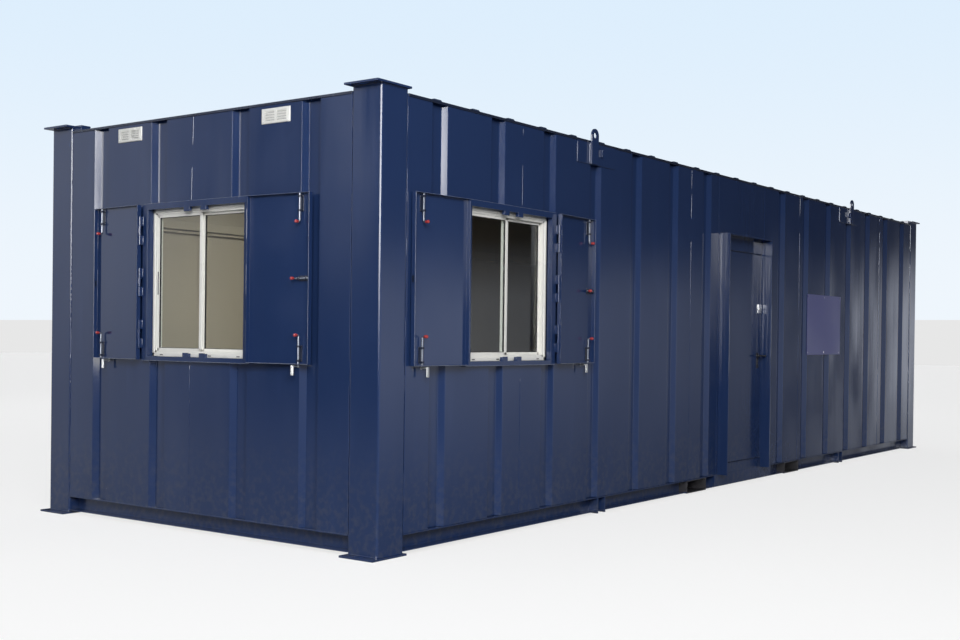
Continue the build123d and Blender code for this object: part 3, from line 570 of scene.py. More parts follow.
def lining(name, side, half, openings, ledge=None):
    """The lining boards of one wall, with a cover strip over each joint, a skirting and perhaps a ledge."""
    shape = Shape(side)
    near = WALL_INNER + LINING_GAP
    far = near + LINING_THICKNESS
    stops = [value for low, high in openings for value in (low.x, high.x)]
    levels = [value for low, high in openings for value in (low.z, high.z)]
    shape.sheet(
        spaced(-half, half, 0.4, *stops),
        spaced(FLOOR_LEVEL + 0.002, CEILING_LEVEL - 0.002, 0.5, *levels),
        lambda s, t: near, lambda s, t: far,
        lambda s, t: any(low.x < s < high.x and low.z < t < high.z for low, high in openings))
    cover_z = (FLOOR_LEVEL + SKIRTING_HEIGHT, CEILING_LEVEL - 0.003)
    for i in range(-JOINTS_EACH_WAY, JOINTS_EACH_WAY + 1):
        joint = BOARD_PITCH * i
        cut = any(low.x - 0.05 < joint < high.x + 0.05 for low, high in openings)
        if abs(joint) < half - 0.1 and not cut:
            shape.block(about(joint, COVER_WIDTH / 2), (far, far + COVER_THICKNESS), cover_z, 0.001)
    # Where an opening reaches the floor, the skirting is broken once, at the first opening of the wall.
    reaches_floor = any(low.z < 0.3 for low, high in openings)
    ends = [-half, *(stops[:2] if reaches_floor else ()), half]
    skirting_z = (FLOOR_LEVEL + 0.001, FLOOR_LEVEL + SKIRTING_HEIGHT)
    for first, second in zip(ends[::2], ends[1::2]):
        shape.block((first, second), (far, far + SKIRTING_DEPTH), skirting_z, 0.003)
    if ledge is not None:
        shape.block((-half, half), (far, far + 0.05), ledge, 0.004)
        shape.block((-half, half), (far, far + 0.028), (ledge[0] - 0.025, ledge[0]), 0.003)
    piece(name, "cabin", "lining_board", shape)


lining("lining_front", FRONT, LONG_HALF, [span("window_frame_front", FRONT), span("door_frame", FRONT)])
lining("lining_back", BACK, LONG_HALF, [], LEDGE)
lining("lining_left", LEFT_END, END_HALF, [span("window_frame_end", LEFT_END)])
lining("lining_right", RIGHT_END, END_HALF, [], LEDGE)


# ---- windows

FRAME_LIP = 0.018
FRAME_RAIL = 0.034
SASH_BAR = 0.016
SASH_FOOT = 0.020
SASH_DEPTH = 0.018
STILE = 0.026
TRACK_PITCH = 0.021
PANE_INSET = 0.008
BEAD = 0.003


def border(shape, x, y, z, bars, edge, lap=0.0, foot_lap=0.0):
    """Four bars just inside a rectangle: bars gives the widths of the left, right, top and bottom ones.

    A lap is how far they reach out past the rectangle."""
    left, right, top, foot = bars
    shape.block((x[0] - lap, x[0] + left), y, z, edge)
    shape.block((x[1] - right, x[1] + lap), y, z, edge)
    shape.block(x, y, (z[1] - top, z[1] + lap), edge)
    shape.block(x, y, (z[0] - foot_lap, z[0] + foot), edge)


def window(place, side):
    """The sliding window of one opening: a frame with a sash in each of two tracks, their panes and beads."""
    low, high = span(f"window_frame_{place}", side)
    middle = (low.x + high.x) / 2
    sashes, panes, beads = Shape(side), Shape(side), Shape(side)
    border(sashes, *zip(low, high), (FRAME_LIP, FRAME_LIP, FRAME_LIP, FRAME_LIP + 0.006), 0.0015)
    rail = FRAME_RAIL - FRAME_LIP
    border(sashes, (low.x + FRAME_LIP, high.x - FRAME_LIP), (low.y + 0.006, high.y - 0.004),
           (low.z + FRAME_LIP, high.z - FRAME_LIP), (rail, rail, rail, rail + 0.003), 0.001, 0.002)
    bottom, top = low.z + FRAME_RAIL, high.z - FRAME_RAIL
    tracks = ((low.x + FRAME_RAIL, middle + STILE / 2, SASH_BAR, STILE),
              (middle - STILE / 2, high.x - FRAME_RAIL, STILE, SASH_BAR))
    for index, (first, second, left, right) in enumerate(tracks):
        near = low.y + 0.010 + TRACK_PITCH * index
        border(sashes, (first, second), (near, near + SASH_DEPTH), (bottom, top),
               (left, right, SASH_BAR, SASH_FOOT), 0.0015)
        panes.block((first + PANE_INSET, second - PANE_INSET), (near + 0.007, near + 0.011),
                    (bottom + PANE_INSET, top - PANE_INSET), 0.0005)
        border(beads, (first + left, second - right), (near + 0.003, near + 0.015),
               (bottom + SASH_FOOT, top - SASH_BAR), [BEAD] * 4, 0.0006, 0.001, 0.001)
    for x in (low.x + 0.09, high.x - 0.09, middle - 0.10, middle + 0.10):
        beads.block(about(x, 0.014), (low.y - 0.0012, low.y + 0.002), (low.z + 0.007, low.z + 0.013), 0.0005)
    grip = low.x + FRAME_RAIL + 0.006
    beads.block(about(grip, 0.004), (low.y + 0.008, low.y + 0.014), (low.z + 0.40, low.z + 0.55), 0.001)
    piece(f"window_sashes_{place}", "cabin", "white_frame", sashes, f"window_frame_{place}")
    piece(f"window_beads_{place}", "cabin", "black_handle", beads)
    piece(f"window_panes_{place}", "cabin", "glazing", panes, f"window_glass_{place}")


for place, side in WINDOWS.items():
    window(place, side)


# ---- shutters: bolts, knobs, welds, and rims with a painted highlight and some wear

LEAF_LEAN = math.radians(3.5)
LEAF_HALF = 0.015
LEAF_SHEET = 0.004
LEAF_REACH = 0.499
LEAF_INNER = 0.010 + LEAF_SHEET
LEAF_RIM = LEAF_REACH - LEAF_SHEET
HINGE_WELD = 0.0045
BOLT_INSET = 0.078
BOLT_RADIUS = 0.006
BOLT_STANDOFF = 0.017
BOLT_LENGTH = 0.167
BOLT_BEND = 0.010
LATCH_LENGTH = 0.105
PLATE_START = 0.012
PLATE_LENGTH = 0.095
LATCH_PLATE_LENGTH = 0.069
PLATE_WIDTH = 0.034
STRAP_HALF = 0.006
KNOB_REACH = 0.0578
KNOB_LENGTH = 0.026
KNOB_PROFILE = [
    (0.0, 0.0062), (0.0015, 0.0080), (0.005, 0.0088), (0.016, 0.010), (0.022, 0.0096), (0.0248, 0.0076),
    (KNOB_LENGTH, 0.0040)]
JOINTS = {joint["name"]: joint for joint in frame["joints"]}


def leaf_frame(place, side):
    """The frame of an open leaf: x from its pin to its free edge, y outwards from its sheet, z up."""
    pin = side.inverted() @ Vector(JOINTS[f"leaf_{place}_hinge"]["pos_m"])
    hand = -1 if "left" in place else 1
    along = Vector((hand * math.cos(LEAF_LEAN), math.sin(LEAF_LEAN), 0))
    outwards = Vector((hand * math.sin(LEAF_LEAN), -math.cos(LEAF_LEAN), 0))
    turn = Matrix((along, outwards, Vector((0, 0, 1)))).transposed().to_4x4()
    return side @ Matrix.Translation((pin.x, pin.y, 0)) @ turn


def bolt_frame(leaf, start, direction):
    """A bolt's frame on a leaf: x away from the leaf's rim, y across, z away from the sheet."""
    x_axis = Vector(direction)
    z_axis = Vector((0, 1, 0))
    turn = Matrix((x_axis, z_axis.cross(x_axis), z_axis)).transposed().to_4x4()
    return leaf @ Matrix.Translation(start) @ turn


def slide_bolt(home, length, plate_length, rods, plates, knobs):
    """One slide bolt: rod with a bent handle, its plate, straps and screws, and the knob."""
    rods.place = plates.place = knobs.place = home
    path = [(0.001, 0, BOLT_STANDOFF), (length - BOLT_BEND, 0, BOLT_STANDOFF)]
    for step in range(1, 5):
        angle = step * math.pi / 8
        path.append((length - BOLT_BEND + BOLT_BEND * math.sin(angle), 0,
                     BOLT_STANDOFF + BOLT_BEND - BOLT_BEND * math.cos(angle)))
    path.append((length, 0, KNOB_REACH - KNOB_LENGTH + 0.004))
    rods.tube(path, [BOLT_RADIUS] * 2 + [0.0057, 0.0055, 0.0052, 0.005, 0.005], 14)
    plates.block((PLATE_START, PLATE_START + plate_length), about(0, PLATE_WIDTH / 2), (0.0, 0.003), 0.0008)
    for x in (PLATE_START + STRAP_HALF, PLATE_START + plate_length - STRAP_HALF):
        strap = about(x, STRAP_HALF)
        for side in (-1, 1):
            plates.block(strap, (side * 0.0065, side * 0.0095), (0.002, BOLT_STANDOFF + 0.008), 0.0008)
            plates.block(strap, (side * 0.009, side * PLATE_WIDTH / 2), (0.0025, 0.005), 0.0008)
            screw = [(0, 0.0032), (0.0012, 0.0032), (0.002, 0.0018)]
            plates.turned((x, side * 0.0132, 0.0045), (0, 0, 1), screw, 10)
        plates.block(strap, (-0.0095, 0.0095), (BOLT_STANDOFF + 0.0058, BOLT_STANDOFF + 0.0088), 0.0008)
    knobs.turned((length, 0, KNOB_REACH - KNOB_LENGTH), (0, 0, 1), KNOB_PROFILE)


def leaf_bolts(place, leaf, bottom, top):
    """The slide bolts at the top and bottom of a leaf, and the latch or its keeper on the free edge."""
    rods, plates, knobs = Shape(), Shape(), Shape()
    face = -LEAF_HALF + LEAF_SHEET
    middle = (bottom + top) / 2
    for rim, inward in ((top - LEAF_SHEET, -1), (bottom + LEAF_SHEET, 1)):
        home = bolt_frame(leaf, (LEAF_REACH - BOLT_INSET, face, rim), (0, 0, inward))
        slide_bolt(home, BOLT_LENGTH, PLATE_LENGTH, rods, plates, knobs)
    if "right" in place:
        home = bolt_frame(leaf, (LEAF_RIM, face, middle), (-1, 0, 0))
        slide_bolt(home, LATCH_LENGTH, LATCH_PLATE_LENGTH, rods, plates, knobs)
    else:
        plates.place = leaf
        plates.block((LEAF_RIM, LEAF_REACH), about(0, 0.012), about(middle, 0.020), 0.001)
    cad_bolts = f"shutter_bolts_{place}"
    piece(f"bolt_rods_{place}", f"leaf_{place}", "bright_steel", rods, cad_bolts, finish="bolt_steel")
    piece(f"bolt_plates_{place}", f"leaf_{place}", "dark_paint", plates, cad_bolts)
    piece(f"bolt_knobs_{place}", f"leaf_{place}", "red_knob", knobs, cad_bolts)


def leaf_welds(place, leaf, bottom, top):
    """Weld beads at the three hinges of a leaf and along the inside of its two upright rims."""
    welds = Shape(leaf)
    face = -LEAF_HALF + LEAF_SHEET
    for i in range(3):
        height = bottom + (top - bottom) * (i + 0.5) / 3
        for edge in (-HINGE_WELD, HINGE_WELD):
            welds.upright(0.0065, edge, about(height, 0.026), 0.0016, i + 7)
    run = (bottom + 0.01, top - 0.01)
    welds.upright(LEAF_INNER, face, run, 0.0018, len(place), 0.5)
    welds.upright(LEAF_RIM, face, run, 0.0014, 5, 0.8)
    piece(f"leaf_welds_{place}", f"leaf_{place}", "navy_paint", welds)


def leaf_rims(place, leaf, bottom, top):
    """The edges of a leaf: thin strips along the bottom, the top and the free edge, painted lighter as a highlight
    where the rims catch the light, with some wear.
    """
    lit_edges = Shape(leaf)
    # Lighter strips on the rims: a painted highlight with some wear.
    out = (LEAF_HALF - 0.0008, LEAF_HALF + 0.0006)
    along = (0.012, LEAF_REACH - 0.001)
    lit_edges.block(along, out, (bottom + 0.0004, bottom + 0.0030), 0.0005)
    lit_edges.block(along, out, (top - 0.0018, top - 0.0004), 0.0004)
    lit_edges.block((LEAF_REACH - 0.0024, LEAF_REACH - 0.0004), out, (bottom + 0.002, top - 0.002), 0.0004)
    piece(f"leaf_rims_{place}", f"leaf_{place}", "navy_paint", lit_edges, finish="edge_highlight_and_wear")


for window_place, side in WINDOWS.items():
    for hand in ("left", "right"):
        place = f"{window_place}_{hand}"
        leaf = leaf_frame(place, side)
        low, high = span(f"shutter_{place}", side)
        leaf_bolts(place, leaf, low.z, high.z)
        leaf_welds(place, leaf, low.z, high.z)
        leaf_rims(place, leaf, low.z, high.z)


# ---- catches below the open leaves

def catch(shape, low, high):
    """One catch: a stub out of the wall with a collar, and a drop plate on its end."""
    x = (low.x + high.x) / 2
    stub = high.z - 0.006
    shape.rod((x, 0.003, stub), (x, low.y + 0.006, stub), 0.0055, 12)
    shape.block(about(x, 0.011), (low.y + 0.0005, low.y + 0.010), (low.z, high.z), 0.0025)
    shape.turned((x, -0.001, stub), (0, 1, 0), [(0, 0.0085), (0.003, 0.0095), (0.004, 0.0095)], 12)
    shape.block(about(x, 0.009), (low.y, low.y + 0.004), (low.z + 0.003, low.z + 0.020), 0.001)


catches = Shape()
for place, side in WINDOWS.items():
    catches.place = side
    window_low, window_high = span(f"window_frame_{place}", side)
    centre = (window_low.x + window_high.x) / 2
    for hand in (-1, 1):
        catch(catches, *span("shutter_catches", side, lambda point: (
            -0.4 < point.y < 0.01 and point.z > 0.9 and 0 < (point.x - centre) * hand < 1.2)))
piece("catches", "cabin", "galvanised", catches, "shutter_catches")


# ---- casings: keeper plates, welds, and lips with a painted highlight and some wear

CASING_DEPTH = 0.032
KEEPER = 0.027
PIN_OFFSET = 0.502
HINGE_HEIGHTS = (1.2547, 1.59, 1.9253)
KNUCKLE_RISE = 0.061
WALL_WELD = 0.001


def keepers(shape, centre, low, high):
    """The keeper plates of the slide bolts in a casing's head and foot, and the welds of its hinge pins."""
    for hand in (-1, 1):
        x = centre + hand * BOLT_INSET
        for z, inward in ((high.z, -1), (low.z, 1)):
            plate_y = (0.001 - CASING_DEPTH, 0.006 - CASING_DEPTH)
            shape.block(about(x, KEEPER), plate_y, (z, z + inward * KEEPER), 0.001)
            shape.level(about(x, 0.026), 0.024 - CASING_DEPTH, z + inward * 0.001, 0.002, 3)
        for i, height in enumerate(HINGE_HEIGHTS):
            for rise in (-KNUCKLE_RISE, KNUCKLE_RISE):
                pin = centre + hand * (PIN_OFFSET - HINGE_WELD)
                shape.upright(pin, -CASING_DEPTH - 0.001, about(height + rise, 0.028), 0.0022, i + 11)


trims, casing_edges = Shape(), Shape()
for place, side in WINDOWS.items():
    trims.place = casing_edges.place = side
    low, high = span(f"window_frame_{place}", side)
    keepers(trims, (low.x + high.x) / 2, low, high)
    low, high = span(f"window_casing_{place}", side, lambda point: point.y > -CASING_DEPTH - 0.001)
    for x, seed in ((low.x, 20), (high.x, 22)):
        trims.upright(x, WALL_WELD, (low.z, high.z), 0.0022, seed, 0.4)
    for z, seed in ((high.z, 31), (low.z, 33)):
        trims.level((low.x, high.x), WALL_WELD, z, 0.0022, seed, 0.4)
    # Thin lighter strips on the casing's lips: a painted highlight where they catch the light, with some wear.
    across = (low.x + 0.004, high.x - 0.004)
    lip = (-CASING_DEPTH - 0.0006, -CASING_DEPTH + 0.0010)
    casing_edges.block(across, lip, (low.z + 0.0004, low.z + 0.0030), 0.0005)
    casing_edges.block(across, lip, (high.z - 0.0020, high.z - 0.0004), 0.0004)
piece("casing_trims", "cabin", "navy_paint", trims)
piece("casing_edges", "cabin", "navy_paint", casing_edges, finish="edge_highlight_and_wear")


# ---- weld seams on the walls and the frame

RAIL_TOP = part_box("base_rail_front")[1].z
ROOF_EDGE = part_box("roof_trim")[0].z
WALL_RUN = (RAIL_TOP, ROOF_EDGE)
UNDER_WINDOW = (RAIL_TOP, 1.075)
SEAM_DEPTH = 0.0025
FRONT_WINDOW_SEAM = -3.474
END_WINDOW_SEAM = -0.064
FRONT_SEAMS = (-1.05, 1.24, 3.55)

seams = Shape(FRONT)
seams.upright(FRONT_WINDOW_SEAM, SEAM_DEPTH, (2.115, ROOF_EDGE), 0.0019, 41, 0.7, 0.010)
seams.upright(FRONT_WINDOW_SEAM, SEAM_DEPTH, UNDER_WINDOW, 0.0022, 42, 0.5)
for i, x in enumerate(FRONT_SEAMS):
    seams.upright(x, SEAM_DEPTH, WALL_RUN, 0.0016, 45 + i, 0.7)
seams.place = LEFT_END
seams.bead((END_WINDOW_SEAM, SEAM_DEPTH, 2.105), (-0.050, SEAM_DEPTH, ROOF_EDGE), 0.0019, 51, 0.7, 0.010)
seams.upright(END_WINDOW_SEAM, SEAM_DEPTH, UNDER_WINDOW, 0.0020, 52, 0.5)

door_low, door_high = span("door_surround", FRONT)
WALLS = (
    (FRONT, LONG_HALF, ((-LONG_HALF, door_low.x), (door_high.x, LONG_HALF))),
    (BACK, LONG_HALF, ((-LONG_HALF, LONG_HALF),)),
    (LEFT_END, END_HALF, ((-END_HALF, END_HALF),)),
    (RIGHT_END, END_HALF, ((-END_HALF, END_HALF),)),
)
for number, (side, half, runs) in enumerate(WALLS):
    seams.place = side
    for hand in (-1, 1):
        seams.upright(hand * (half + 0.003), 0.0015, (RAIL_TOP, ROOF_EDGE + 0.01), 0.0034,
                      60 + number * 2 + hand, 0.6, 0.010)
    for run in runs:
        seams.level(run, WALL_WELD, RAIL_TOP + 0.0005, 0.0022, 70 + number, 0.35)
piece("wall_welds", "cabin", "navy_paint", seams)

frame_welds = Shape()
for corner in ("front_left", "front_right", "back_left", "back_right"):
    low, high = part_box(f"corner_post_{corner}")
    for z in (low.z + 0.0015, high.z - 0.0015):
        around = [(low.x, low.y, z), (high.x, low.y, z), (high.x, high.y, z), (low.x, high.y, z)]
        for i in range(4):
            first, second = Vector(around[i]), Vector(around[(i + 1) % 4])
            inset = (second - first).normalized() * 0.014
            frame_welds.bead(first + inset, second - inset, 0.0034, i + 3)
piece("post_welds", "cabin", "navy_paint", frame_welds)


# ---- lugs: welds and small gussets

GUSSET_OFFSET = 0.105
BACKING_REACH = 0.1
LUG_FACE = -0.005

lug_parts = Shape()
for side in (FRONT, BACK):
    lug_parts.place = side
    for hand in (-1, 1):
        low, high = span("lug_backings", side, lambda point: point.y < BACKING_REACH and point.x * hand > 0)
        lug_low, lug_high = span(
            "lug_backings", side, lambda point: point.y < LUG_FACE and point.x * hand > 0)
        for x in (low.x, high.x):
            lug_parts.upright(x, 0.0005, (low.z, high.z), 0.0028, 81, 0.5)
        lug_parts.level((low.x, high.x), 0.0005, low.z, 0.0028, 83, 0.5)
        run = (low.z + 0.004, high.z - 0.002)
        for x in (lug_low.x, lug_high.x):
            lug_parts.upright(x, -0.0075, run, 0.0035, 85)
            lug_parts.upright(x, -0.0035, run, 0.0030, 87)
        gusset = -hand * GUSSET_OFFSET + (lug_low.x + lug_high.x) / 2
        lug_parts.block(about(gusset, 0.006), (-0.0225, -0.002), (low.z + 0.063, low.z + 0.116), 0.0015)
piece("lug_details", "cabin", "navy_paint", lug_parts)


# ---- door

LEAF_LOW, LEAF_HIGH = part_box("door_leaf")
OPENING_LEFT, OPENING_RIGHT = LEAF_LOW.x - 0.006, LEAF_HIGH.x + 0.008
STOP_DEPTH = (0.050, 0.070)
STOP_FOOT = 0.205
STOP_HEAD = 2.030
SKIN_DEPTH = (0.0012, 0.004)
SKIN_WIDTH = 0.004
OUTWARDS = (0, -1, 0)


def door_stops():
    """The strips inside the opening that the leaf closes on, with a sill and a drip strip over the head."""
    stops = Shape(FRONT)
    frame_low, frame_high = span("door_frame", FRONT)
    opening = (OPENING_LEFT, OPENING_RIGHT)
    for x in ((OPENING_LEFT - 0.004, OPENING_LEFT + 0.012), (OPENING_RIGHT - 0.014, OPENING_RIGHT + 0.004)):
        stops.block(x, STOP_DEPTH, (STOP_FOOT, STOP_HEAD), 0.002)
    stops.block(opening, STOP_DEPTH, (STOP_HEAD - 0.018, STOP_HEAD + 0.004), 0.002)
    stops.block(opening, STOP_DEPTH, (STOP_FOOT - 0.004, STOP_FOOT + 0.012), 0.002)
    stops.block(opening, (-0.004, 0.040), (STOP_FOOT - 0.006, STOP_FOOT + 0.0015), 0.001)
    drip = (frame_low.x + 0.002, frame_high.x - 0.002)
    stops.block(drip, (-0.002, 0.003), (STOP_HEAD, STOP_HEAD + 0.008), 0.001)
    piece("door_stops", "cabin", "navy_paint", stops)


def door_edges():
    """A thin turned edge round the face of the leaf."""
    skin = Shape(FRONT)
    x, z = (LEAF_LOW.x, LEAF_HIGH.x), (LEAF_LOW.z, LEAF_HIGH.z)
    border(skin, x, SKIN_DEPTH, z, [SKIN_WIDTH] * 4, 0.0006)
    piece("door_leaf_edges", "door", "navy_paint", skin)


def door_lock():
    """The lock's plate with its barrel and corner screws, a black block painted as the shade in the keyhole, and
    the keep on the jamb.
    """
    low, high = span("door_lock", FRONT)
    middle = (low.z + high.z) / 2
    barrel = low.x + 0.030
    face = low.y + 0.004
    lock = Shape(FRONT)
    lock.block((low.x, high.x), (face, high.y), (low.z, high.z), 0.003)
    rose = [(0, 0.0120), (0.0025, 0.0120), (0.0045, 0.0105)]
    lock.turned((barrel, face + 0.001, middle), OUTWARDS, rose, 24)
    for x in (low.x + 0.009, high.x - 0.009):
        for z in (low.z + 0.009, high.z - 0.009):
            screw = [(0, 0.0040), (0.0015, 0.0040), (0.0030, 0.0020)]
            lock.turned((x, face + 0.001, z), OUTWARDS, screw, 12)
    piece("lock_case", "door", "bright_steel", lock, "door_lock")
    # The keyhole is a thin black block on the barrel: painted shade where the slot would be dark.
    key = Shape(FRONT)
    key.block(about(barrel, 0.0018), (low.y, low.y + 0.003), about(middle, 0.006), 0.0005)
    piece("keyhole_shade", "door", "black_handle", key, "door_lock")

    keep = Shape(FRONT)
    near = OPENING_RIGHT - 0.0012
    keep.block((near, OPENING_RIGHT + 0.0008), (0.006, 0.046), (low.z + 0.008, high.z - 0.008), 0.0005)
    for z in (low.z + 0.018, high.z - 0.018):
        screw = [(0, 0.0038), (0.0008, 0.0038), (0.0014, 0.0020)]
        keep.turned((near + 0.0004, 0.026, z), (-1, 0, 0), screw, 12)
    piece("lock_keep", "cabin", "bright_steel", keep)


def door_handle():
    """The lever on its rose and back plate, with the cover of the lower fixing."""
    low, high = span("door_handle", FRONT)
    rose_low, rose_high = span("door_handle", FRONT, lambda point: point.y > -0.005)
    x = (rose_low.x + rose_high.x) / 2
    z = (low.z + high.z) / 2
    handle = Shape(FRONT)
    rose = [(0, 0.026), (0.004, 0.026), (0.007, 0.023), (0.009, 0.014), (0.014, 0.009), (0.050, 0.009)]
    handle.turned((x, 0.003, z), OUTWARDS, rose, 28)
    bar = 0.009
    lever = (low.x + 0.002, low.x + bar, high.x - bar, high.x - 0.001)
    handle.tube([(point, low.y + bar, z) for point in lever], [0.006, bar - 0.0002, bar - 0.0002, 0.006], 18)
    handle.block(about(x, 0.020), (-0.001, 0.003), (z - 0.11, z + 0.026), 0.0015)
    handle.turned((x, -0.001, z - 0.080), OUTWARDS, [(0, 0.010), (0.002, 0.010), (0.003, 0.008)], 20)
    piece("handle", "door", "black_handle", handle, "door_handle")


door_stops()
door_edges()
door_lock()
door_handle()


# ---- vents

SLOT_HALF_WIDTH = 0.041
SLOT_HALF_HEIGHT = 0.004
SLOT_ACROSS = 0.100
SLOT_PITCH = 0.0155
VENT_RIM = 0.004
VENT_STEP = 0.08


def vent(covers, shade_backs, low, high):
    """One vent: a cover with domed edges, two columns of four slots with a blade in each, and a dark sheet behind
    them that paints the shade inside the vent.
    """
    centre_x, centre_z = (low.x + high.x) / 2, (low.z + high.z) / 2
    slots_x = [centre_x + (i - 0.5) * SLOT_ACROSS for i in range(2)]
    slots_z = [centre_z + (j - 1.5) * SLOT_PITCH for j in range(4)]
    cuts_x = [cut for x in slots_x for cut in about(x, SLOT_HALF_WIDTH)]
    cuts_z = [cut for z in slots_z for cut in about(z, SLOT_HALF_HEIGHT)]

    def dome(s, t):
        inset = min(s - low.x, high.x - s, t - low.z, high.z - t)
        return low.y + VENT_RIM * (1 - min(1, inset / VENT_RIM))

    def in_slot(s, t):
        return (any(abs(s - x) < SLOT_HALF_WIDTH for x in slots_x)
                and any(abs(t - z) < SLOT_HALF_HEIGHT for z in slots_z))

    covers.sheet(
        spaced(low.x, high.x, VENT_STEP, low.x + VENT_RIM, high.x - VENT_RIM, *cuts_x),
        spaced(low.z, high.z, VENT_STEP, low.z + VENT_RIM, high.z - VENT_RIM, *cuts_z),
        dome, lambda s, t: high.y - 0.0005, in_slot)
    for x in slots_x:
        for z in slots_z:
            blade_y = (low.y + 0.0048, low.y + 0.0072)
            covers.block(about(x, SLOT_HALF_WIDTH), blade_y, (z - 0.0010, z + 0.0045), 0.0006)
    # A dark sheet behind the slots: painted shade, standing for the dark inside the vent.
    shade_backs.block((low.x + 0.02, high.x - 0.02), (high.y - 0.0015, high.y - 0.0002),
                (low.z + 0.015, high.z - 0.015), 0.0004)
    for x in (low.x + 0.010, high.x - 0.010):
        screw = [(0, 0.0035), (0.001, 0.0035), (0.0016, 0.002)]
        covers.turned((x, low.y + 0.001, centre_z), OUTWARDS, screw, 10)


vent_covers, vent_shade_backs = Shape(), Shape()
for side in (LEFT_END, RIGHT_END):
    vent_covers.place = vent_shade_backs.place = side
    for hand in (-1, 1):
        vent(vent_covers, vent_shade_backs, *span("vents", side, lambda point: point.x * hand > 0 and point.y < 1))
piece("vent_covers", "cabin", "white_vent", vent_covers, "vents")
piece("vent_shade_backs", "cabin", "dark_paint", vent_shade_backs)


# ---- notice board

BOARD_STEP = 0.06
SCREW_INSET = 0.022
SCREW_HEAD = [(0, 0.0085), (0.0008, 0.0085), (0.001, 0.005), (0.0025, 0.0045), (0.003, 0.003)]

board_low, board_high = span("notice_board", FRONT)
board = Shape(FRONT)
board.sheet(
    spaced(board_low.x, board_high.x, BOARD_STEP), spaced(board_low.z, board_high.z, BOARD_STEP),
    lambda s, t: board_low.y + 0.0006 + 0.0006 * math.sin(9 * s + 4 * t), lambda s, t: board_high.y - 0.0002)
piece("board", "cabin", "board_sheet", board, "notice_board")
screws = Shape(FRONT)
for x in (board_low.x + SCREW_INSET, (board_low.x + board_high.x) / 2, board_high.x - SCREW_INSET):
    for z in (board_low.z + SCREW_INSET, board_high.z - SCREW_INSET):
        screws.turned((x, board_low.y + 0.001, z), OUTWARDS, SCREW_HEAD, 14)
piece("board_screws", "cabin", "bright_steel", screws)


# ---- stage: floor, world and lamps

FLOOR_HALF = 60.0
SKY_LINE_RISE = 0.022177
LEFT_WALL_STRENGTH = 16.0


def make_floor():
    """A pale floor just under the cabin, that takes shadows, glows for the camera and shows in no gloss."""
    shader = Shader("floor")
    shader.finish((0.22, 0.219, 0.217), 0.9, Emission_Color=(0.728, 0.727, 0.724, 1))
    path = shader.node("ShaderNodeLightPath")
    shader.link(path.outputs["Is Camera Ray"], shader.bsdf.inputs["Emission Strength"])
    unseen = shader.node("ShaderNodeBsdfTransparent")
    shader.either(path.outputs["Is Glossy Ray"], shader.bsdf.outputs[0], unseen.outputs[0])
    corners = [(x * FLOOR_HALF, y * FLOOR_HALF, 0) for x, y in ((-1, -1), (1, -1), (1, 1), (-1, 1))]
    mesh = bpy.data.meshes.new("floor")
    mesh.from_pydata(corners, [], [(0, 1, 2, 3)])
    mesh.materials.append(shader.material)
    floor = add_object("floor", mesh)
    floor.location.z = -0.001
    floor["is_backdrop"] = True


make_floor()

world = bpy.data.worlds.new("studio")
bpy.context.scene.world = world
world.use_nodes = True
sky = Graph(world.node_tree)
direction = sky.node("ShaderNodeTexCoord").outputs["Generated"]
split = sky.node("ShaderNodeSeparateXYZ")
sky.link(direction, split.inputs[0])
height = split.outputs["Z"]
bearing = sky.math("ARCTAN2", split.outputs["Y"], split.outputs["X"])


def turn(low, high):
    """A step over a range of bearings, in degrees from the x axis."""
    return sky.ramp(bearing, math.radians(low), math.radians(high))


def around(*points):
    """A value that runs straight between (bearing in degrees, value) points."""
    return sky.curve(bearing, *[(math.radians(angle), value) for angle, value in points])


# The studio as the gloss paint mirrors it: a tall white wall to the left with haze at one edge, a grey wall
# beyond it and a low bright strip all along the front, over a dark floor. The white wall ends a little way
# up, above all that the cabin's walls mirror in the photo's view.
left_wall = sky.times(
    sky.plus(turn(147, 149), turn(-135.4, -136.4)),
    sky.ramp(height, 0.0, 0.085), sky.ramp(height, 0.34, 0.24), LEFT_WALL_STRENGTH)
haze = sky.times(
    around((134, 0.0), (136.4, 0.5), (137.6, 1.6), (138.6, 1.9), (139.4, 0.3), (140, 0.0), (143, 0.0)),
    sky.ramp(height, -0.02, 0.20))
grey_wall = sky.times(
    around((66, 0.0), (85, 0.6), (100, 1.1), (127, 1.1), (131.5, 0.6), (134, 0.08), (136, 0.0), (140, 0.0)),
    sky.curve(height, (-0.16, 0.12), (-0.12, 0.3), (-0.08, 0.5), (-0.03, 0.7), (0.04, 0.9), (0.10, 1.0)))
is_front = sky.times(turn(-134, -120), turn(10, -3))
strip = sky.times(
    around((-60, 1.0), (-42, 1.0), (-34, 0.6), (-28, 0.38), (-24, 0.26), (-21, 0.12), (-19.3, 0.12),
           (-18.2, 1.1), (-5, 1.2)),
    sky.curve(height, (-0.18, 0.18), (-0.13, 0.3), (-0.06, 0.75), (-0.02, 1.0), (0.03, 1.0), (0.078, 0.06),
              (0.09, 0.05)),
    is_front)
low_floor = sky.times(sky.ramp(height, -0.03, -0.12), sky.math("SUBTRACT", 1.0, is_front), 0.30)
soft_light = sky.node("ShaderNodeVectorMath", operation="SCALE")
soft_light.inputs[0].default_value = (0.92, 0.97, 1.10)
sky.link(sky.plus(grey_wall, haze, strip, low_floor, 0.02), soft_light.inputs["Scale"])
mirrored = sky.node("ShaderNodeVectorMath", operation="ADD")
sky.link(soft_light.outputs[0], mirrored.inputs[0])
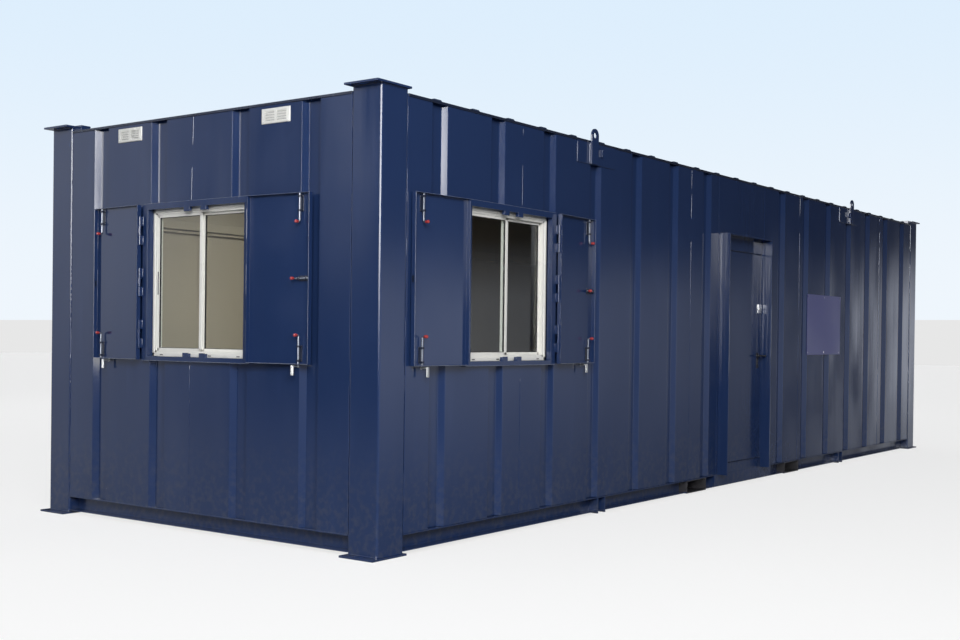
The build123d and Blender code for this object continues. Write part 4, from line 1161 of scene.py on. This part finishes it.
sky.link(left_wall, mirrored.inputs[1])

# The background behind the cabin: pale blue sky over a pale floor, which meet along a level line in the view
facing = sky.node("ShaderNodeVectorMath", operation="DOT_PRODUCT")
sky.link(direction, facing.inputs[0])
facing.inputs[1].default_value = up - forward * SKY_LINE_RISE
over_line = facing.outputs["Value"]
blue = sky.mix(sky.ramp(over_line, 0.0, 0.27), (0.862, 0.923, 0.982), (0.723, 0.855, 0.982))
backdrop = sky.mix(sky.ramp(over_line, -0.0003, 0.0003), (0.80, 0.80, 0.80), blue)

path = sky.node("ShaderNodeLightPath")
soft = sky.mix(sky.ramp(height, -0.2, 0.6), (0.21, 0.21, 0.21), (0.23, 0.245, 0.28))
seen = sky.mix(path.outputs["Is Glossy Ray"], soft, mirrored.outputs[0])
seen = sky.mix(path.outputs["Is Camera Ray"], seen, backdrop)
sky.link(seen, sky.tree.nodes["Background"].inputs["Color"])


def softbox(name, place, target, size, power, color=(1, 1, 1), mirrored=False):
    """A soft rectangular lamp, aimed at a point, that either lights surfaces or shows in their gloss."""
    lamp = bpy.data.lights.new(name, "AREA")
    lamp.shape = "RECTANGLE"
    lamp.size, lamp.size_y = size
    lamp.energy = power
    lamp.color = color
    lamp.specular_factor = float(mirrored)
    lamp_object = add_object(name, lamp)
    aim = (Vector(target) - Vector(place)).to_track_quat("-Z", "Y")
    lamp_object.matrix_world = Matrix.Translation(place) @ aim.to_matrix().to_4x4()
    lamp_object.visible_glossy = mirrored
    lamp_object.visible_diffuse = not mirrored


softbox("key", (-11.5, -8.0, 5.2), (-4.2, -0.6, 1.2), (6, 4.5), 1180)
softbox("fill", (9.5, 10.0, 5.5), (1.0, 0.5, 1.2), (6, 4.5), 420)
softbox("reflector", (-10.7, -4.5, 2.5), (-4.9, 0.9, 2.2), (0.8, 3.2), 100, mirrored=True)
softbox("room", (-3.4, 0.1, CEILING_LEVEL - 0.06), (-3.4, 0.1, 0), (1.6, 1.2), 34, (1.0, 0.97, 0.90))

low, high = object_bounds()
